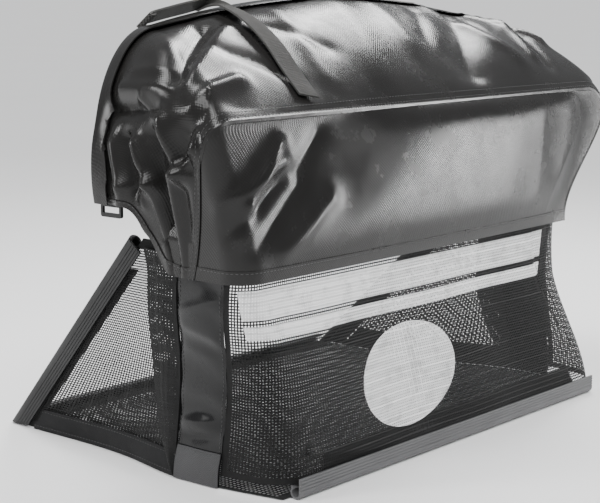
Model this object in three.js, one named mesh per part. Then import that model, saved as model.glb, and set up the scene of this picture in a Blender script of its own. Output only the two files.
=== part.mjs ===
// Grass collection bag for a walk-behind mower: a net body on plastic clip-on channels,
// under a coated cloth hood with a skirt. Millimetres, +Z up, +Y towards the mower.
import * as THREE from 'three';
import { mergeVertices } from 'three/addons/utils/BufferGeometryUtils.js';

// Driving dimensions of the net body
const floorWidth = 520;
const floorDepth = 409;
const bodyHeight = 236;
const bodyFlare = 10;
const bodyCornerRadius = 38;
const wallLean = 0.1;
const mouthSlope = 1.06;
const slump = -40;
const slumpHeight = 205;
const floorBulge = 24;
const rightBulge = 9;
const cornerSweep = 50;

// Driving dimensions of the hood
const hoodWidth = 675;
const seamHeight = 348;
const seamCornerRadius = 40;
const hoodDepth = 155;
const archShoulder = 76;
const archCrown = 26;
const archCornerWidth = 70;
const archCornerHeight = 120;
const archNarrowing = 20;
const skirtHemHeight = 205;
const flapHemHeight = 266;
const skirtEase = 5.5;
const skirtRoom = 3.1;
const rightTuck = 20;
const tuckShare = 0.11;

// Cloth, webbing and trim
const netThickness = 1.6;
const clothThickness = 2;
const tapeThickness = 1.4;
const webbingThickness = 2;
const webbingWidth = 22;
const strapLift = 9.5;
const strapRise = 9;
const strapBehind = 13;
const strapRearX = -200;
const strapFrontX = -166;
const strapEndX = -246;
const stripWidth = 56;
const stripSetBack = 78;
const stripDrift = -36;
const patchHeight = 34;
const hemBandHeight = 26;
const edgeTapeWidth = 24;
const tapeSetBack = 5;
const tapeTopGap = 34;
const seamRidgeWidth = 9;
const bindingWidth = 16;
const seamGap = 0.5;
const layerGap = 0.7;
const channelSeat = 0.8;

// Clip-on channel profile
const channelFace = 20;
const channelWall = 2;
const rodRadius = 4.2;
const grooveWidth = 1.1;
const grooveDepth = 0.5;
const groovePitch = 3;
const lipReach = 2.2;

// Ladder-lock buckle
const buckleWidth = 28;
const buckleHeight = 24;
const buckleThickness = 3;
const buckleBar = 4;
const tabRise = 4;
const tabForward = 5;
const tabHang = 7;
const loopWidth = 7;
const loopBack = 7.5;
const loopDrop = 3.8;
const tabShare = 0.7;
const tabSetBack = 5.1;
const footClearance = 1.5;
const footRoom = 10.5;

const TAU = Math.PI * 2;
const clamp01 = (t) => Math.min(1, Math.max(0, t));
const mix = (a, b, t) => a + (b - a) * t;
const ease = (a, b, x) => {
  const t = clamp01((x - a) / (b - a));
  return t * t * (3 - 2 * t);
};

const cloth = (color, roughness) => new THREE.MeshStandardMaterial({ color, roughness, metalness: 0 });
const finishes = {
  hood: cloth(0x3c3c3d, 0.35),
  net: cloth(0x161616, 0.7),
  strip: cloth(0x242425, 0.3),
  patch: cloth(0x5a5a5c, 0.5),
  tape: cloth(0x1c1c1d, 0.8),
  webbing: cloth(0x2b2a2a, 0.85),
  channel: cloth(0x3a3b3d, 0.45),
  buckle: cloth(0x101010, 0.4),
};

const bag = new THREE.Group();
const model = new THREE.Group();
bag.add(model);

const add = (name, geometry, material, parent = model) => {
  const mesh = new THREE.Mesh(geometry, material);
  mesh.name = name;
  parent.add(mesh);
  return mesh;
};

// The shape of the bag at each height

// The empty bag sags to one side at its waist.
const sag = (z) => slump * ease(0, slumpHeight, z) * (1 - ease(slumpHeight, seamHeight * 0.96, z));
const halfWidth = (z) => {
  const waist = floorWidth / 2 + bodyFlare * clamp01(z / slumpHeight);
  return waist + (hoodWidth / 2 - floorWidth / 2 - bodyFlare) * ease(slumpHeight, seamHeight, z);
};
// The net is sewn to the inside of the skirt, so its top edge reaches out to it.
const join = (z) => (skirtEase - skirtRoom) * ease(skirtHemHeight, bodyHeight, z);
const netHalf = (z) => halfWidth(z) + join(z);
const rearY = (z) => wallLean * z;
const mouthY = (z) => floorDepth - mouthSlope * z;

// Lower net walls belly out a little where they meet the floor.
const belly = (side, y, z) => {
  const along = (y - stripSetBack - stripWidth / 2) / floorDepth;
  const bulge = floorBulge + (side > 0 ? rightBulge : 0);
  return bulge * Math.exp(-along * along * 14) * (1 - ease(0, slumpHeight * 0.7, z));
};
// Towards the mouth a side wall runs into the straight line of its channel.
const sideX = (side, y, z) => {
  const wall = sag(z) + side * (netHalf(z) + belly(side, y, z));
  const straight = sag(bodyHeight) * (z / bodyHeight)
    + side * mix(floorWidth / 2, netHalf(bodyHeight), z / bodyHeight);
  const straightFrom = mouthY(z) - channelFace * Math.hypot(1, mouthSlope);
  const t = ease(stripFront(z), straightFrom, y);
  return mix(wall, straight, t);
};
const stripRear = (z) => stripSetBack + stripDrift * clamp01(z / slumpHeight);
const stripFront = (z) => stripRear(z) + stripWidth;

// The rear wall and its two rounded corners, from one corner strip to the other.
const rearWall = (u, v) => {
  const z = mix(rearFoot, bodyHeight, v);
  const rise = rearY(z) - join(z);
  const legEnd = stripRear(z) - seamGap;
  const radius = Math.min(bodyCornerRadius, legEnd - rise);
  const legStart = rise + radius;
  const wide = (side) => radius + (side > 0 ? cornerSweep * ease(0, slumpHeight, z) : 0);
  const reach = (side) => side * sideX(side, legStart, z) - wide(side);
  const arc = radius * TAU / 4;
  const farArc = (radius + wide(1)) / 2 * TAU / 4;
  const leg = legEnd - legStart;
  const flat = reach(-1) + reach(1);
  let s = u * (flat + arc + farArc + 2 * leg);
  if (s < leg) return new THREE.Vector3(sideX(-1, legEnd - s, z), legEnd - s, z);
  s -= leg;
  const corner = (side, angle) => new THREE.Vector3(
    side * (reach(side) + wide(side) * Math.sin(angle)), rise + radius * (1 - Math.cos(angle)), z);
  if (s < arc) return corner(-1, TAU / 4 - s / radius);
  s -= arc;
  if (s < flat) {
    const x = s - reach(-1);
    return new THREE.Vector3(x, rise - rearSag(x, z), z);
  }
  s -= flat;
  if (s < farArc) return corner(1, s / farArc * TAU / 4);
  const y = legStart + s - farArc;
  return new THREE.Vector3(sideX(1, y, z), y, z);
};
// The rear net hangs with a shallow fold low down.
const rearSag = (x, z) => {
  const edge = 1 - Math.pow(Math.abs(x) / (floorWidth / 2), 4);
  return 5 * Math.max(0, edge) * Math.sin(Math.PI * clamp01(z / bodyHeight));
};

const sideWall = (side) => (u, v) => {
  const z = mix(sideFoot, bodyHeight, v);
  const front = mouthY(z) - channelClear;
  const y = mix(front, stripFront(z) + seamGap, side < 0 ? u : 1 - u);
  return new THREE.Vector3(sideX(side, y, z), y, z);
};
const cornerStrip = (side) => (u, v) => {
  const z = mix(sideFoot, bodyHeight, v);
  const y = mix(stripFront(z), stripRear(z), side < 0 ? u : 1 - u);
  return new THREE.Vector3(sideX(side, y, z) + side * 0.9 * wrinkle(y, z), y, z);
};
const wrinkle = (y, z) => Math.sin(z * 0.13 + Math.sin(y * 0.05) * 2) * Math.sin(z * 0.047 + 1);

// The hood: one long piece goes over both sides and the top, and a rear panel is set into it

const hemHeight = (y) => mix(skirtHemHeight, flapHemHeight, ease(rearY(seamHeight), hoodDepth, y));
// Low down the hood follows the net, and higher up it follows the front arch.
const towardsArch = (z, v) => ease(0, 1, v) * ease(bodyHeight, seamHeight, z);
const hoodHalf = (z, v) => mix(halfWidth(z), hoodWidth / 2 - archNarrowing, towardsArch(z, v)) + skirtEase;
const hoodCentre = (z, v) => sag(z) * (1 - towardsArch(z, v));
// At its far rear corner the hood is drawn in round the net.
const tuck = (side, v) => (side > 0 ? rightTuck * (1 - clamp01(v / tuckShare)) : 0);
const shoulderHeight = (v) => seamHeight + archShoulder * Math.pow(Math.sin(v * TAU / 4), 0.9);
const rearSeamY = (z) => rearY(z) - skirtEase;
const sideShare = 0.24;
const cornerShare = 0.12;

// Folds of the gathered side, each a line from one point to another on the side (y, z)
const folds = [
  { from: [101, 350], to: [79, 303], depth: 9, width: 9 },
  { from: [84, 296], to: [84, 222], depth: 7, width: 9 },
  { from: [52, 334], to: [68, 306], depth: 7, width: 8 },
  { from: [74, 336], to: [70, 318], depth: -11, width: 9 },
  { from: [100, 338], to: [94, 230], depth: -12, width: 7 },
  { from: [128, 326], to: [112, 262], depth: 9, width: 9 },
  { from: [112, 262], to: [98, 222], depth: 5, width: 7 },
  { from: [165, 318], to: [152, 276], depth: 7, width: 10 },
  { from: [146, 330], to: [136, 284], depth: -8, width: 10 },
  { from: [160, 373], to: [100, 376], depth: 6, width: 8 },
  { from: [164, 353], to: [122, 360], depth: -8, width: 9 },
];
// Folds that run over the top, as points (x, y) seen from above
const topFolds = [
  { from: [-222, 152], to: [-318, 92], depth: -11, width: 11 },
  { from: [-208, 134], to: [-318, 76], depth: 5, width: 9 },
  { from: [-262, 66], to: [-326, 56], depth: 6, width: 8 },
  { from: [178, 150], to: [88, 62], depth: -7, width: 20 },
  { from: [150, 160], to: [200, 70], depth: 5, width: 14 },
  { from: [244, 170], to: [300, 104], depth: 6, width: 8 },
  { from: [-20, 150], to: [-70, 60], depth: 3, width: 30 },
];
const fold = (a, b, { from, to, depth, width }) => {
  const du = to[0] - from[0];
  const dv = to[1] - from[1];
  const t = clamp01(((a - from[0]) * du + (b - from[1]) * dv) / (du * du + dv * dv));
  const off = Math.hypot(a - from[0] - t * du, b - from[1] - t * dv) / width;
  return depth * Math.exp(-off * off);
};
const foldSum = (list, a, b) => list.reduce((sum, f) => sum + fold(a, b, f), 0);

const hoodFront = (z) => rearY(seamHeight) + hoodDepth;
const cover = (q, v) => {
  const side = q < 0.5 ? -1 : 1;
  const p = q < 0.5 ? q : 1 - q;
  const rx = mix(seamCornerRadius, archCornerWidth, v * v);
  const rz = mix(seamCornerRadius, archCornerHeight, v * v);
  const top = shoulderHeight(v);
  const spring = top - rz;
  const depthAt = (z) => mix(rearSeamY(Math.min(z, seamHeight)), hoodFront(z), v);
  if (p < sideShare) {
    const rough = depthAt(skirtHemHeight);
    const z = mix(hemHeight(rough), spring, p / sideShare);
    const y = depthAt(z);
    const fade = ease(0, 0.12, v);
    const push = Math.max(foldSum(folds, y, z) * fade, -20 * ease(bodyHeight, bodyHeight + 40, z));
    return new THREE.Vector3(hoodCentre(z, v) + side * (hoodHalf(z, v) + push - tuck(side, v)), y, z);
  }
  if (p < sideShare + cornerShare) {
    const angle = (p - sideShare) / cornerShare * TAU / 4;
    const z = spring + rz * Math.sin(angle);
    const y = depthAt(z);
    const fade = ease(0, 0.12, v);
    const half = hoodHalf(Math.min(z, seamHeight), v) - tuck(side, v) - rx * (1 - Math.cos(angle));
    const x = hoodCentre(Math.min(z, seamHeight), v) + side * half;
    const push = foldSum(folds, y, z) * fade * Math.cos(angle) + foldSum(topFolds, x, y) * Math.sin(angle) * fade;
    return new THREE.Vector3(x + side * push * Math.cos(angle), y, z + push * Math.sin(angle));
  }
  const across = (p - sideShare - cornerShare) / (0.5 - sideShare - cornerShare);
  const half = hoodHalf(seamHeight, v) - tuck(side, v) - rx;
  const x = hoodCentre(seamHeight, v) + side * half * (1 - across);
  const share = half > 0 ? (1 - across) : 0;
  const crown = archCrown * Math.sin(v * TAU / 4) * (1 - share * share);
  const y = depthAt(seamHeight);
  const z = top + crown + foldSum(topFolds, x, y) * ease(0, 0.15, v) * (1 - ease(0.85, 1, v));
  return new THREE.Vector3(x, y, z);
};

// The rear panel fills the outline that the seam draws.
const rearPanel = (u, v) => {
  const z = mix(skirtHemHeight, seamHeight, v + 0.5 * v * (1 - v));
  const low = seamHeight - seamCornerRadius;
  const inset = z > low ? seamCornerRadius - Math.sqrt(Math.max(0, seamCornerRadius ** 2 - (z - low) ** 2)) : 0;
  const x = mix(inset - hoodHalf(z, 0), hoodHalf(z, 0) - tuck(1, 0) - inset - seamGap, u) + hoodCentre(z, 0);
  const drape = Math.sin(Math.PI * u) * Math.sin(Math.PI * clamp01(v)) * 7;
  return new THREE.Vector3(x, rearSeamY(z) - drape, z);
};

// The edges of a panel's cells are given as a list, or as a number of equal cells.
const cellEdges = (cells, from, to) => (
  Array.isArray(cells) ? cells : Array.from({ length: cells + 1 }, (_, i) => mix(from, to, i / cells)));
// Cells of a net along one way: plain cells up to its openings, bars and openings in turn, plain cells again
const netCells = ({ from, to, openings, plain }) => {
  const pitch = (to - from) / (openings + barShare);
  const bars = Array.from({ length: openings + 1 }, (_, i) => from + i * pitch);
  return [
    ...cellEdges(plain, 0, from).slice(0, -1),
    ...bars.flatMap((bar) => [bar, bar + pitch * barShare]),
    ...cellEdges(plain, to, 1).slice(1),
  ];
};
const isGap = ({ openings, plain }, i) => i > plain && i < plain + 2 * openings && (i - plain) % 2 === 1;
const netPanel = (at, across, up) => clothPanel(
  at, netCells(across), netCells(up), netThickness, 0, undefined, (i, j) => isGap(across, i) && isGap(up, j));

// Turns a surface into a closed sheet of cloth. The surface is its inner face moved out by lift,
// and an opening is left where isOpen says so.
function clothPanel(at, across, up, thickness, lift = 0, trim = [0, 1, 0, 1], isOpen = () => false) {
  const step = 1e-3;
  const [u0, u1, v0, v1] = trim;
  const uEdges = cellEdges(across, u0, u1);
  const vEdges = cellEdges(up, v0, v1);
  const columns = uEdges.length - 1;
  const rows = vEdges.length - 1;
  const inner = [];
  const outer = [];
  for (let j = 0; j <= rows; j += 1) {
    for (let i = 0; i <= columns; i += 1) {
      const u = uEdges[i];
      const v = vEdges[j];
      const ua = Math.max(0, u - step);
      const ub = Math.min(1, u + step);
      const va = Math.max(0, v - step);
      const vb = Math.min(1, v + step);
      const along = at(ub, v).sub(at(ua, v));
      const up = at(u, vb).sub(at(u, va));
      const normal = along.cross(up).normalize();
      const p = at(u, v);
      inner.push(p.clone().addScaledVector(normal, lift));
      outer.push(p.clone().addScaledVector(normal, lift + thickness));
    }
  }
  const points = [...inner, ...outer];
  const shift = inner.length;
  const id = (i, j, layer) => layer * shift + j * (columns + 1) + i;
  const cellOpen = (i, j) => i < 0 || j < 0 || i >= columns || j >= rows || isOpen(i, j);
  const index = [];
  const quad = (a, b, c, d) => index.push(a, b, c, a, c, d);
  for (let j = 0; j < rows; j += 1) {
    for (let i = 0; i < columns; i += 1) {
      if (cellOpen(i, j)) continue;
      quad(id(i, j, 1), id(i + 1, j, 1), id(i + 1, j + 1, 1), id(i, j + 1, 1));
      quad(id(i, j, 0), id(i, j + 1, 0), id(i + 1, j + 1, 0), id(i + 1, j, 0));
      if (cellOpen(i, j - 1)) quad(id(i, j, 0), id(i + 1, j, 0), id(i + 1, j, 1), id(i, j, 1));
      if (cellOpen(i + 1, j)) quad(id(i + 1, j, 0), id(i + 1, j + 1, 0), id(i + 1, j + 1, 1), id(i + 1, j, 1));
      if (cellOpen(i, j + 1)) quad(id(i + 1, j + 1, 0), id(i, j + 1, 0), id(i, j + 1, 1), id(i + 1, j + 1, 1));
      if (cellOpen(i - 1, j)) quad(id(i, j + 1, 0), id(i, j, 0), id(i, j, 1), id(i, j + 1, 1));
    }
  }
  const geometry = new THREE.BufferGeometry();
  geometry.setAttribute('position', new THREE.Float32BufferAttribute(points.flatMap((p) => p.toArray()), 3));
  geometry.setIndex(index);
  return geometry;
}

const seamShare = 0.004;
const tubeDepth = (rodRadius + channelWall) * 2;
const rearFoot = tubeDepth + layerGap;
const sideFoot = 1;
const channelClear = (tubeDepth + layerGap) * Math.hypot(1, mouthSlope);

const bandSetBack = 0.08;

// The nets' openings are drawn as a plain coarse grid.
const barShare = 0.42;
const rearGrid = {
  across: { from: 0.15, to: 0.84, openings: 8, plain: 6 },
  up: { from: 0.13, to: 0.86, openings: 4, plain: 2 },
};
const sideGrid = {
  across: { from: 0.08, to: 0.92, openings: 6, plain: 1 },
  up: { from: 0.13, to: 0.84, openings: 5, plain: 2 },
};
const floorGrid = {
  across: { from: 0.06, to: 0.8, openings: 4, plain: 2 },
  up: { from: 0.05, to: 0.95, openings: 6, plain: 1 },
};

// Net body
add('rear_mesh_panel', netPanel(rearWall, rearGrid.across, rearGrid.up), finishes.net);
for (const [side, hand] of [[-1, 'left'], [1, 'right']]) {
  add(`side_mesh_${hand}`, netPanel(sideWall(side), sideGrid.across, sideGrid.up), finishes.net);
  add(`corner_strip_${hand}`, clothPanel(cornerStrip(side), 4, 16, netThickness), finishes.strip);
  const patchTop = patchHeight / (bodyHeight - sideFoot);
  const patchLift = netThickness + layerGap;
  add(`corner_patch_${hand}`,
    clothPanel(cornerStrip(side), 4, 3, tapeThickness, patchLift, [0, 1, 0, patchTop]), finishes.patch);
  const bandTop = hemBandHeight / (bodyHeight - sideFoot);
  const bandEnds = side < 0 ? [bandSetBack, 1] : [0, 1 - bandSetBack];
  add(`side_hem_band_${hand}`,
    clothPanel(sideWall(side), 14, 2, tapeThickness, patchLift, [...bandEnds, 0, bandTop]), finishes.tape);
}

// The floor net lies flat between the side walls.
const floorPanel = (u, v) => {
  const y = mix(floorRear, floorFront, u);
  const lift = (channelWall + layerGap) * ease(floorFront - 3 * channelFace, floorDepth - channelFace - 4, y);
  const inset = layerGap * 1.6 + footRoom * ease(floorFront - 2 * channelFace, floorFront - channelFace, y);
  const left = sideX(-1, y, 0) + inset;
  const right = sideX(1, y, 0) - inset;
  return new THREE.Vector3(mix(left, right, v), y, netThickness + lift);
};
const rearFaceY = -netThickness - layerGap;
const floorRear = rearFaceY - channelWall + tubeDepth + layerGap;
const floorFront = floorDepth - tubeDepth - layerGap;
add('floor_mesh_panel', netPanel(floorPanel, floorGrid.across, floorGrid.up), finishes.net);

// Hood
add('hood_cover', clothPanel(cover, 56, 14, clothThickness, 0, [0, 1, seamShare, 1]), finishes.hood);
add('hood_rear_panel', clothPanel(rearPanel, 24, 10, clothThickness), finishes.hood);

// Clip-on channel: a grooved face that is sewn to the cloth, and an open tube for the frame rod.
// The face lies along x, its outside is towards +y, and the length runs along z.
function channelProfile() {
  const outer = rodRadius + channelWall;
  const centreX = channelFace - outer;
  const centreY = channelWall - outer;
  const gapStart = TAU * 0.3;
  const gapEnd = -TAU * 0.36;
  const shape = new THREE.Shape();
  shape.moveTo(0, 0);
  shape.lineTo(0, channelWall);
  for (let x = groovePitch / 2; x + grooveWidth < centreX; x += groovePitch) {
    shape.lineTo(x, channelWall);
    shape.lineTo(x, channelWall - grooveDepth);
    shape.lineTo(x + grooveWidth, channelWall - grooveDepth);
    shape.lineTo(x + grooveWidth, channelWall);
  }
  shape.lineTo(centreX, channelWall);
  shape.absarc(centreX, centreY, outer, TAU / 4, gapEnd, true);
  shape.lineTo(
    centreX + (outer + lipReach) * Math.cos(gapEnd), centreY + (outer + lipReach) * Math.sin(gapEnd));
  shape.lineTo(
    centreX + (outer + lipReach) * Math.cos(gapEnd - 0.25), centreY + (outer + lipReach) * Math.sin(gapEnd - 0.25));
  shape.absarc(centreX, centreY, rodRadius, gapEnd - 0.25, gapStart, false);
  shape.lineTo(centreX + rodRadius * Math.cos(gapStart), 0);
  shape.closePath();
  return shape;
}
// A channel of a length from start along the direction, with its outside facing the way given.
function channel(start, end, outside) {
  const along = end.clone().sub(start);
  const length = along.length();
  const z = along.normalize();
  const y = outside.clone().addScaledVector(z, -outside.dot(z)).normalize();
  const x = y.clone().cross(z);
  const geometry = new THREE.ExtrudeGeometry(
    channelProfile(), { depth: length, steps: 1, curveSegments: 11, bevelEnabled: false });
  geometry.applyMatrix4(new THREE.Matrix4().makeBasis(x, y, z).setPosition(start));
  geometry.computeBoundingBox();
  return geometry;
}
const point = (x, y, z) => new THREE.Vector3(x, y, z);
const merged = (geometry) => {
  geometry.deleteAttribute('normal');
  geometry.deleteAttribute('uv');
  return mergeVertices(geometry, 1e-4);
};
add('rear_channel', merged(channel(
  point(floorWidth / 2, rearFaceY, channelFace),
  point(-floorWidth / 2, rearFaceY, channelFace), point(0, -1, 0))), finishes.channel);


// The side channels run up the mouth, from the floor to the hood.
const mouthFoot = (side) => point(side * floorWidth / 2, floorDepth, 0);
const mouthHead = (side) => point(sideX(side, mouthY(bodyHeight), bodyHeight), mouthY(bodyHeight), bodyHeight);
function sideChannel(side) {
  const along = mouthHead(side).sub(mouthFoot(side));
  const length = along.length();
  along.normalize();
  const outside = point(side * along.z, 0, -side * along.x).normalize();
  const forward = outside.clone().cross(along).multiplyScalar(-side);
  const seat = netThickness + channelSeat;
  const foot = channelFace * forward.z / along.z;
  const base = mouthFoot(side).addScaledVector(forward, -channelFace).addScaledVector(outside, seat);
  const low = base.clone().addScaledVector(along, foot);
  const high = base.clone().addScaledVector(along, length);
  const geometry = side < 0 ? channel(low, high, outside) : channel(high, low, outside);
  return mitred(geometry, along, footClearance);
}
// Slides the low end of a sloping channel along its length until it is cut level with the ground.
function mitred(geometry, along, ground) {
  const place = geometry.getAttribute('position');
  const half = geometry.boundingBox.getCenter(new THREE.Vector3()).z;
  for (let i = 0; i < place.count; i += 1) {
    if (place.getZ(i) > half) continue;
    const slide = (ground - place.getZ(i)) / along.z;
    place.setXYZ(i, place.getX(i) + along.x * slide, place.getY(i) + along.y * slide, ground);
  }
  geometry.computeBoundingBox();
  return geometry;
}
for (const [side, hand] of [[-1, 'left'], [1, 'right']]) {
  add(`side_channel_${hand}`, merged(sideChannel(side)), finishes.channel);
}
const frontChannelHalf = floorWidth / 2 + netThickness + layerGap - tubeDepth + channelWall - layerGap * 2;
add('floor_front_channel', merged(channel(
  point(frontChannelHalf, floorDepth - channelFace, channelWall),
  point(-frontChannelHalf, floorDepth - channelFace, channelWall), point(0, 0, -1))), finishes.channel);

// Tapes that back the net where it is sewn to its channels
const mouthTape = (side) => (u, v) => {
  const z = mix(sideFoot + netThickness * 3, bodyHeight - tapeTopGap, v);
  const front = mouthY(z) - channelClear - tapeSetBack;
  const back = front - edgeTapeWidth * Math.hypot(1, mouthSlope);
  const y = mix(front, back, side < 0 ? u : 1 - u);
  return new THREE.Vector3(sideX(side, y, z), y, z);
};
const behindNet = -channelSeat - tapeThickness;
for (const [side, hand] of [[-1, 'left'], [1, 'right']]) {
  add(`side_edge_tape_${hand}`, clothPanel(mouthTape(side), 2, 9, tapeThickness, behindNet), finishes.tape);
}
const tapeRows = edgeTapeWidth / (bodyHeight - rearFoot);
add('rear_edge_tape',
  clothPanel(rearWall, 44, 1, tapeThickness, behindNet, [0.17, 0.83, 0, tapeRows]), finishes.tape);

// Seam tape round the rear panel, and a binding that is folded over the front edge of the hood
const onCover = clothThickness + layerGap;
add('hood_seam_tape',
  clothPanel(cover, 56, 1, tapeThickness, onCover, [0, 1, seamShare, seamRidgeWidth / hoodDepth]), finishes.tape);
const foldedOver = (surface, share, room) => (u, v) => {
  const step = 1e-3;
  const turn = clamp01((v - 0.4) / 0.2);
  const depth = v < 0.5 ? mix(1 - share, 1, clamp01(v / 0.4)) : mix(1, 1 - share, clamp01((v - 0.6) / 0.4));
  const p = surface(u, depth);
  const along = surface(Math.min(1, u + step), depth).sub(surface(Math.max(0, u - step), depth));
  const across = surface(u, depth).sub(surface(u, depth - step));
  const normal = along.clone().cross(across).normalize();
  const onward = across.normalize();
  const middle = clothThickness / 2;
  const radius = middle + room;
  const angle = turn * TAU / 2;
  return p.addScaledVector(normal, middle + radius * Math.cos(angle)).addScaledVector(onward, radius * Math.sin(angle));
};
add('hood_front_binding',
  clothPanel(foldedOver(cover, bindingWidth / hoodDepth, layerGap * 3.5), 56, 6, tapeThickness, 0), finishes.tape);

// Carry strap: sewn into the rear seam, up over the hood and along its front edge to a curled end
const onHood = (x, v, lift) => {
  const half = hoodHalf(seamHeight, v) - mix(seamCornerRadius, archCornerWidth, v * v);
  const inFromEdge = 1 - Math.min(1, Math.abs(x) / half);
  const p = mix(sideShare + cornerShare, 0.5, inFromEdge);
  return cover(x < 0 ? p : 1 - p, v).add(point(0, 0, lift));
};
const nearRun = [0.05, 0.2, 0.4, 0.6, 0.8, 0.95].map(
  (v) => onHood(mix(strapRearX, strapFrontX, v), v, strapLift));
const farRun = [0, 0.25, 0.5, 0.75, 1].map((t) => mix(strapFrontX - 6, strapEndX, t)).map((x) => onHood(x, 1, strapRise).add(point(0, strapBehind, 0)));
const curl = [
  onHood(strapEndX - 8, 1, strapRise).add(point(0, strapBehind - 4, 0)),
  onHood(strapEndX - 4, 1, strapRise).add(point(0, strapBehind - 8, 0)),
];
const strapPath = new THREE.CatmullRomCurve3([...nearRun, ...farRun, ...curl]);
const strapAcross = (u) => {
  const flat = point(0.93, -0.31, -0.18);
  const upright = point(0.03, -0.8, 0.6);
  return flat.lerp(upright, ease(0.55, 0.72, u)).normalize();
};
const strap = (u, v) => strapPath.getPointAt(clamp01(u)).addScaledVector(strapAcross(u), (0.5 - v) * -webbingWidth);
add('carry_strap', clothPanel(strap, 26, 1, webbingThickness, 0), finishes.webbing);

// Ladder-lock buckles hang from webbing tabs at the hood's lower front corners
function buckle() {
  const shape = new THREE.Shape();
  const halfWide = buckleWidth / 2;
  const corner = buckleBar * 0.6;
  shape.moveTo(-halfWide + corner, 0);
  shape.lineTo(halfWide - corner, 0);
  shape.absarc(halfWide - corner, corner, corner, -TAU / 4, 0, false);
  shape.lineTo(halfWide, buckleHeight - corner);
  shape.absarc(halfWide - corner, buckleHeight - corner, corner, 0, TAU / 4, false);
  shape.lineTo(-halfWide + corner, buckleHeight);
  shape.absarc(-halfWide + corner, buckleHeight - corner, corner, TAU / 4, TAU / 2, false);
  shape.lineTo(-halfWide, corner);
  shape.absarc(-halfWide + corner, corner, corner, TAU / 2, TAU * 0.75, false);
  const slot = (buckleHeight - 3 * buckleBar) / 2;
  for (const low of [buckleBar, 2 * buckleBar + slot]) {
    const hole = new THREE.Path();
    hole.moveTo(-halfWide + buckleBar * 0.7, low);
    hole.lineTo(-halfWide + buckleBar * 0.7, low + slot);
    hole.lineTo(halfWide - buckleBar * 0.7, low + slot);
    hole.lineTo(halfWide - buckleBar * 0.7, low);
    hole.closePath();
    shape.holes.push(hole);
  }
  return merged(new THREE.ExtrudeGeometry(
    shape, { depth: buckleThickness, steps: 1, curveSegments: 3, bevelEnabled: false }));
}
// The tab goes down inside the hood's edge, through the buckle's top slot and back up.
const tabLoop = (side) => {
  const corner = cover(side < 0 ? 0 : 1, 0.93);
  const upper = cover(side < 0 ? sideShare * tabShare : 1 - sideShare * tabShare, 0.93);
  const x = corner.x - side * tabSetBack;
  const upperX = upper.x - side * tabSetBack;
  const y = corner.y + tabForward;
  const slotTop = flapHemHeight + tabRise;
  const hang = slotTop + tabHang;
  return new THREE.CatmullRomCurve3([
    point(upperX, y, upper.z),
    point(x, y, hang),
    point(x, y, slotTop),
    point(x - side * loopWidth / 2, y, slotTop - loopDrop),
    point(x - side * loopWidth, y, slotTop),
    point(x - side * loopBack, y, hang),
    point(mix(x, upperX, 0.5) - side * loopBack, y, mix(hang, upper.z, 0.5)),
  ]);
};
for (const [side, hand] of [[-1, 'left'], [1, 'right']]) {
  const path = tabLoop(side);
  const tab = (u, v) => path.getPointAt(clamp01(u)).add(point(0, (v - 0.5) * side * -webbingWidth * 0.8, 0));
  add(`hood_tab_${hand}`, clothPanel(tab, 18, 1, webbingThickness * 0.7, 0), finishes.webbing);
  const lock = add(`ladder_lock_${hand}`, buckle(), finishes.buckle);
  const corner = cover(side < 0 ? 0 : 1, 0.93);
  lock.rotation.set(TAU / 4, 0, TAU / 4, 'ZXY');
  lock.position.set(
    corner.x - side * (tabSetBack + loopWidth / 2 + 0.5) - buckleThickness / 2, corner.y + tabForward,
    flapHemHeight + tabRise - buckleHeight + buckleBar + 1);
}

// The origin is under the middle of the bag, on the ground.
const box = new THREE.Box3().setFromObject(bag);
model.position.set(-(box.min.x + box.max.x) / 2, -(box.min.y + box.max.y) / 2, -box.min.z);

export default bag;
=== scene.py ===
"""Looks of a mower's grass collection bag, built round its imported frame.

Shapes are worked out in millimetres in the bag's own frame, where x runs along the rear channel
from its middle, y towards the mower and z up, and turned into metres in the shared frame at the end.
"""
import math

import bpy
import numpy as np
from bpy.props import FloatProperty, FloatVectorProperty, PointerProperty
from bpy.types import Operator, Panel, PropertyGroup
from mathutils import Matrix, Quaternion, Vector


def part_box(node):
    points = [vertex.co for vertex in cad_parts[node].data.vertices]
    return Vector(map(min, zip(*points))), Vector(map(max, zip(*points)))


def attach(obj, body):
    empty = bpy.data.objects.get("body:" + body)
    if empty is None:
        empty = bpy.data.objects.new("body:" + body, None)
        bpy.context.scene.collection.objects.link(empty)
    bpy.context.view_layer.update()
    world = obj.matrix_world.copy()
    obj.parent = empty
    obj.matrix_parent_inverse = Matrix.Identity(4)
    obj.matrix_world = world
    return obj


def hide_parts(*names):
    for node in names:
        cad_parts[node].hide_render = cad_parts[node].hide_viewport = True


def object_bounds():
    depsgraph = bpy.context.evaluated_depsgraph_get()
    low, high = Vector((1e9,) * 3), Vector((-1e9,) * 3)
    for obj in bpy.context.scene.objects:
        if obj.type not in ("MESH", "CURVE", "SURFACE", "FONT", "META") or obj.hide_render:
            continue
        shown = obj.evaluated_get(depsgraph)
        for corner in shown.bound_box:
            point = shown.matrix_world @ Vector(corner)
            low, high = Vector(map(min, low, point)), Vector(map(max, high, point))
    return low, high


bl_info = {
    "name": "Grass collection bag",
    "version": (1, 0, 0),
    "blender": (4, 5, 0),
    "location": "3D View > Sidebar > Grass bag",
    "description": "Builds the cloth, net, webbing and plastic of a mower's grass bag",
    "category": "Object",
}

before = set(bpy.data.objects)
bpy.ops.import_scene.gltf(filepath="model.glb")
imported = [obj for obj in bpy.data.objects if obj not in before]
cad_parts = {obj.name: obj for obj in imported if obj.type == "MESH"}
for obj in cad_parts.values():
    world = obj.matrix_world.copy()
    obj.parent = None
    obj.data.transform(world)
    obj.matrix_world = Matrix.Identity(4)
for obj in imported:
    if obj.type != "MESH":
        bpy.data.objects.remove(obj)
CAD_BOX = [list(map(float, corner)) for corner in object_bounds()]

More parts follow.
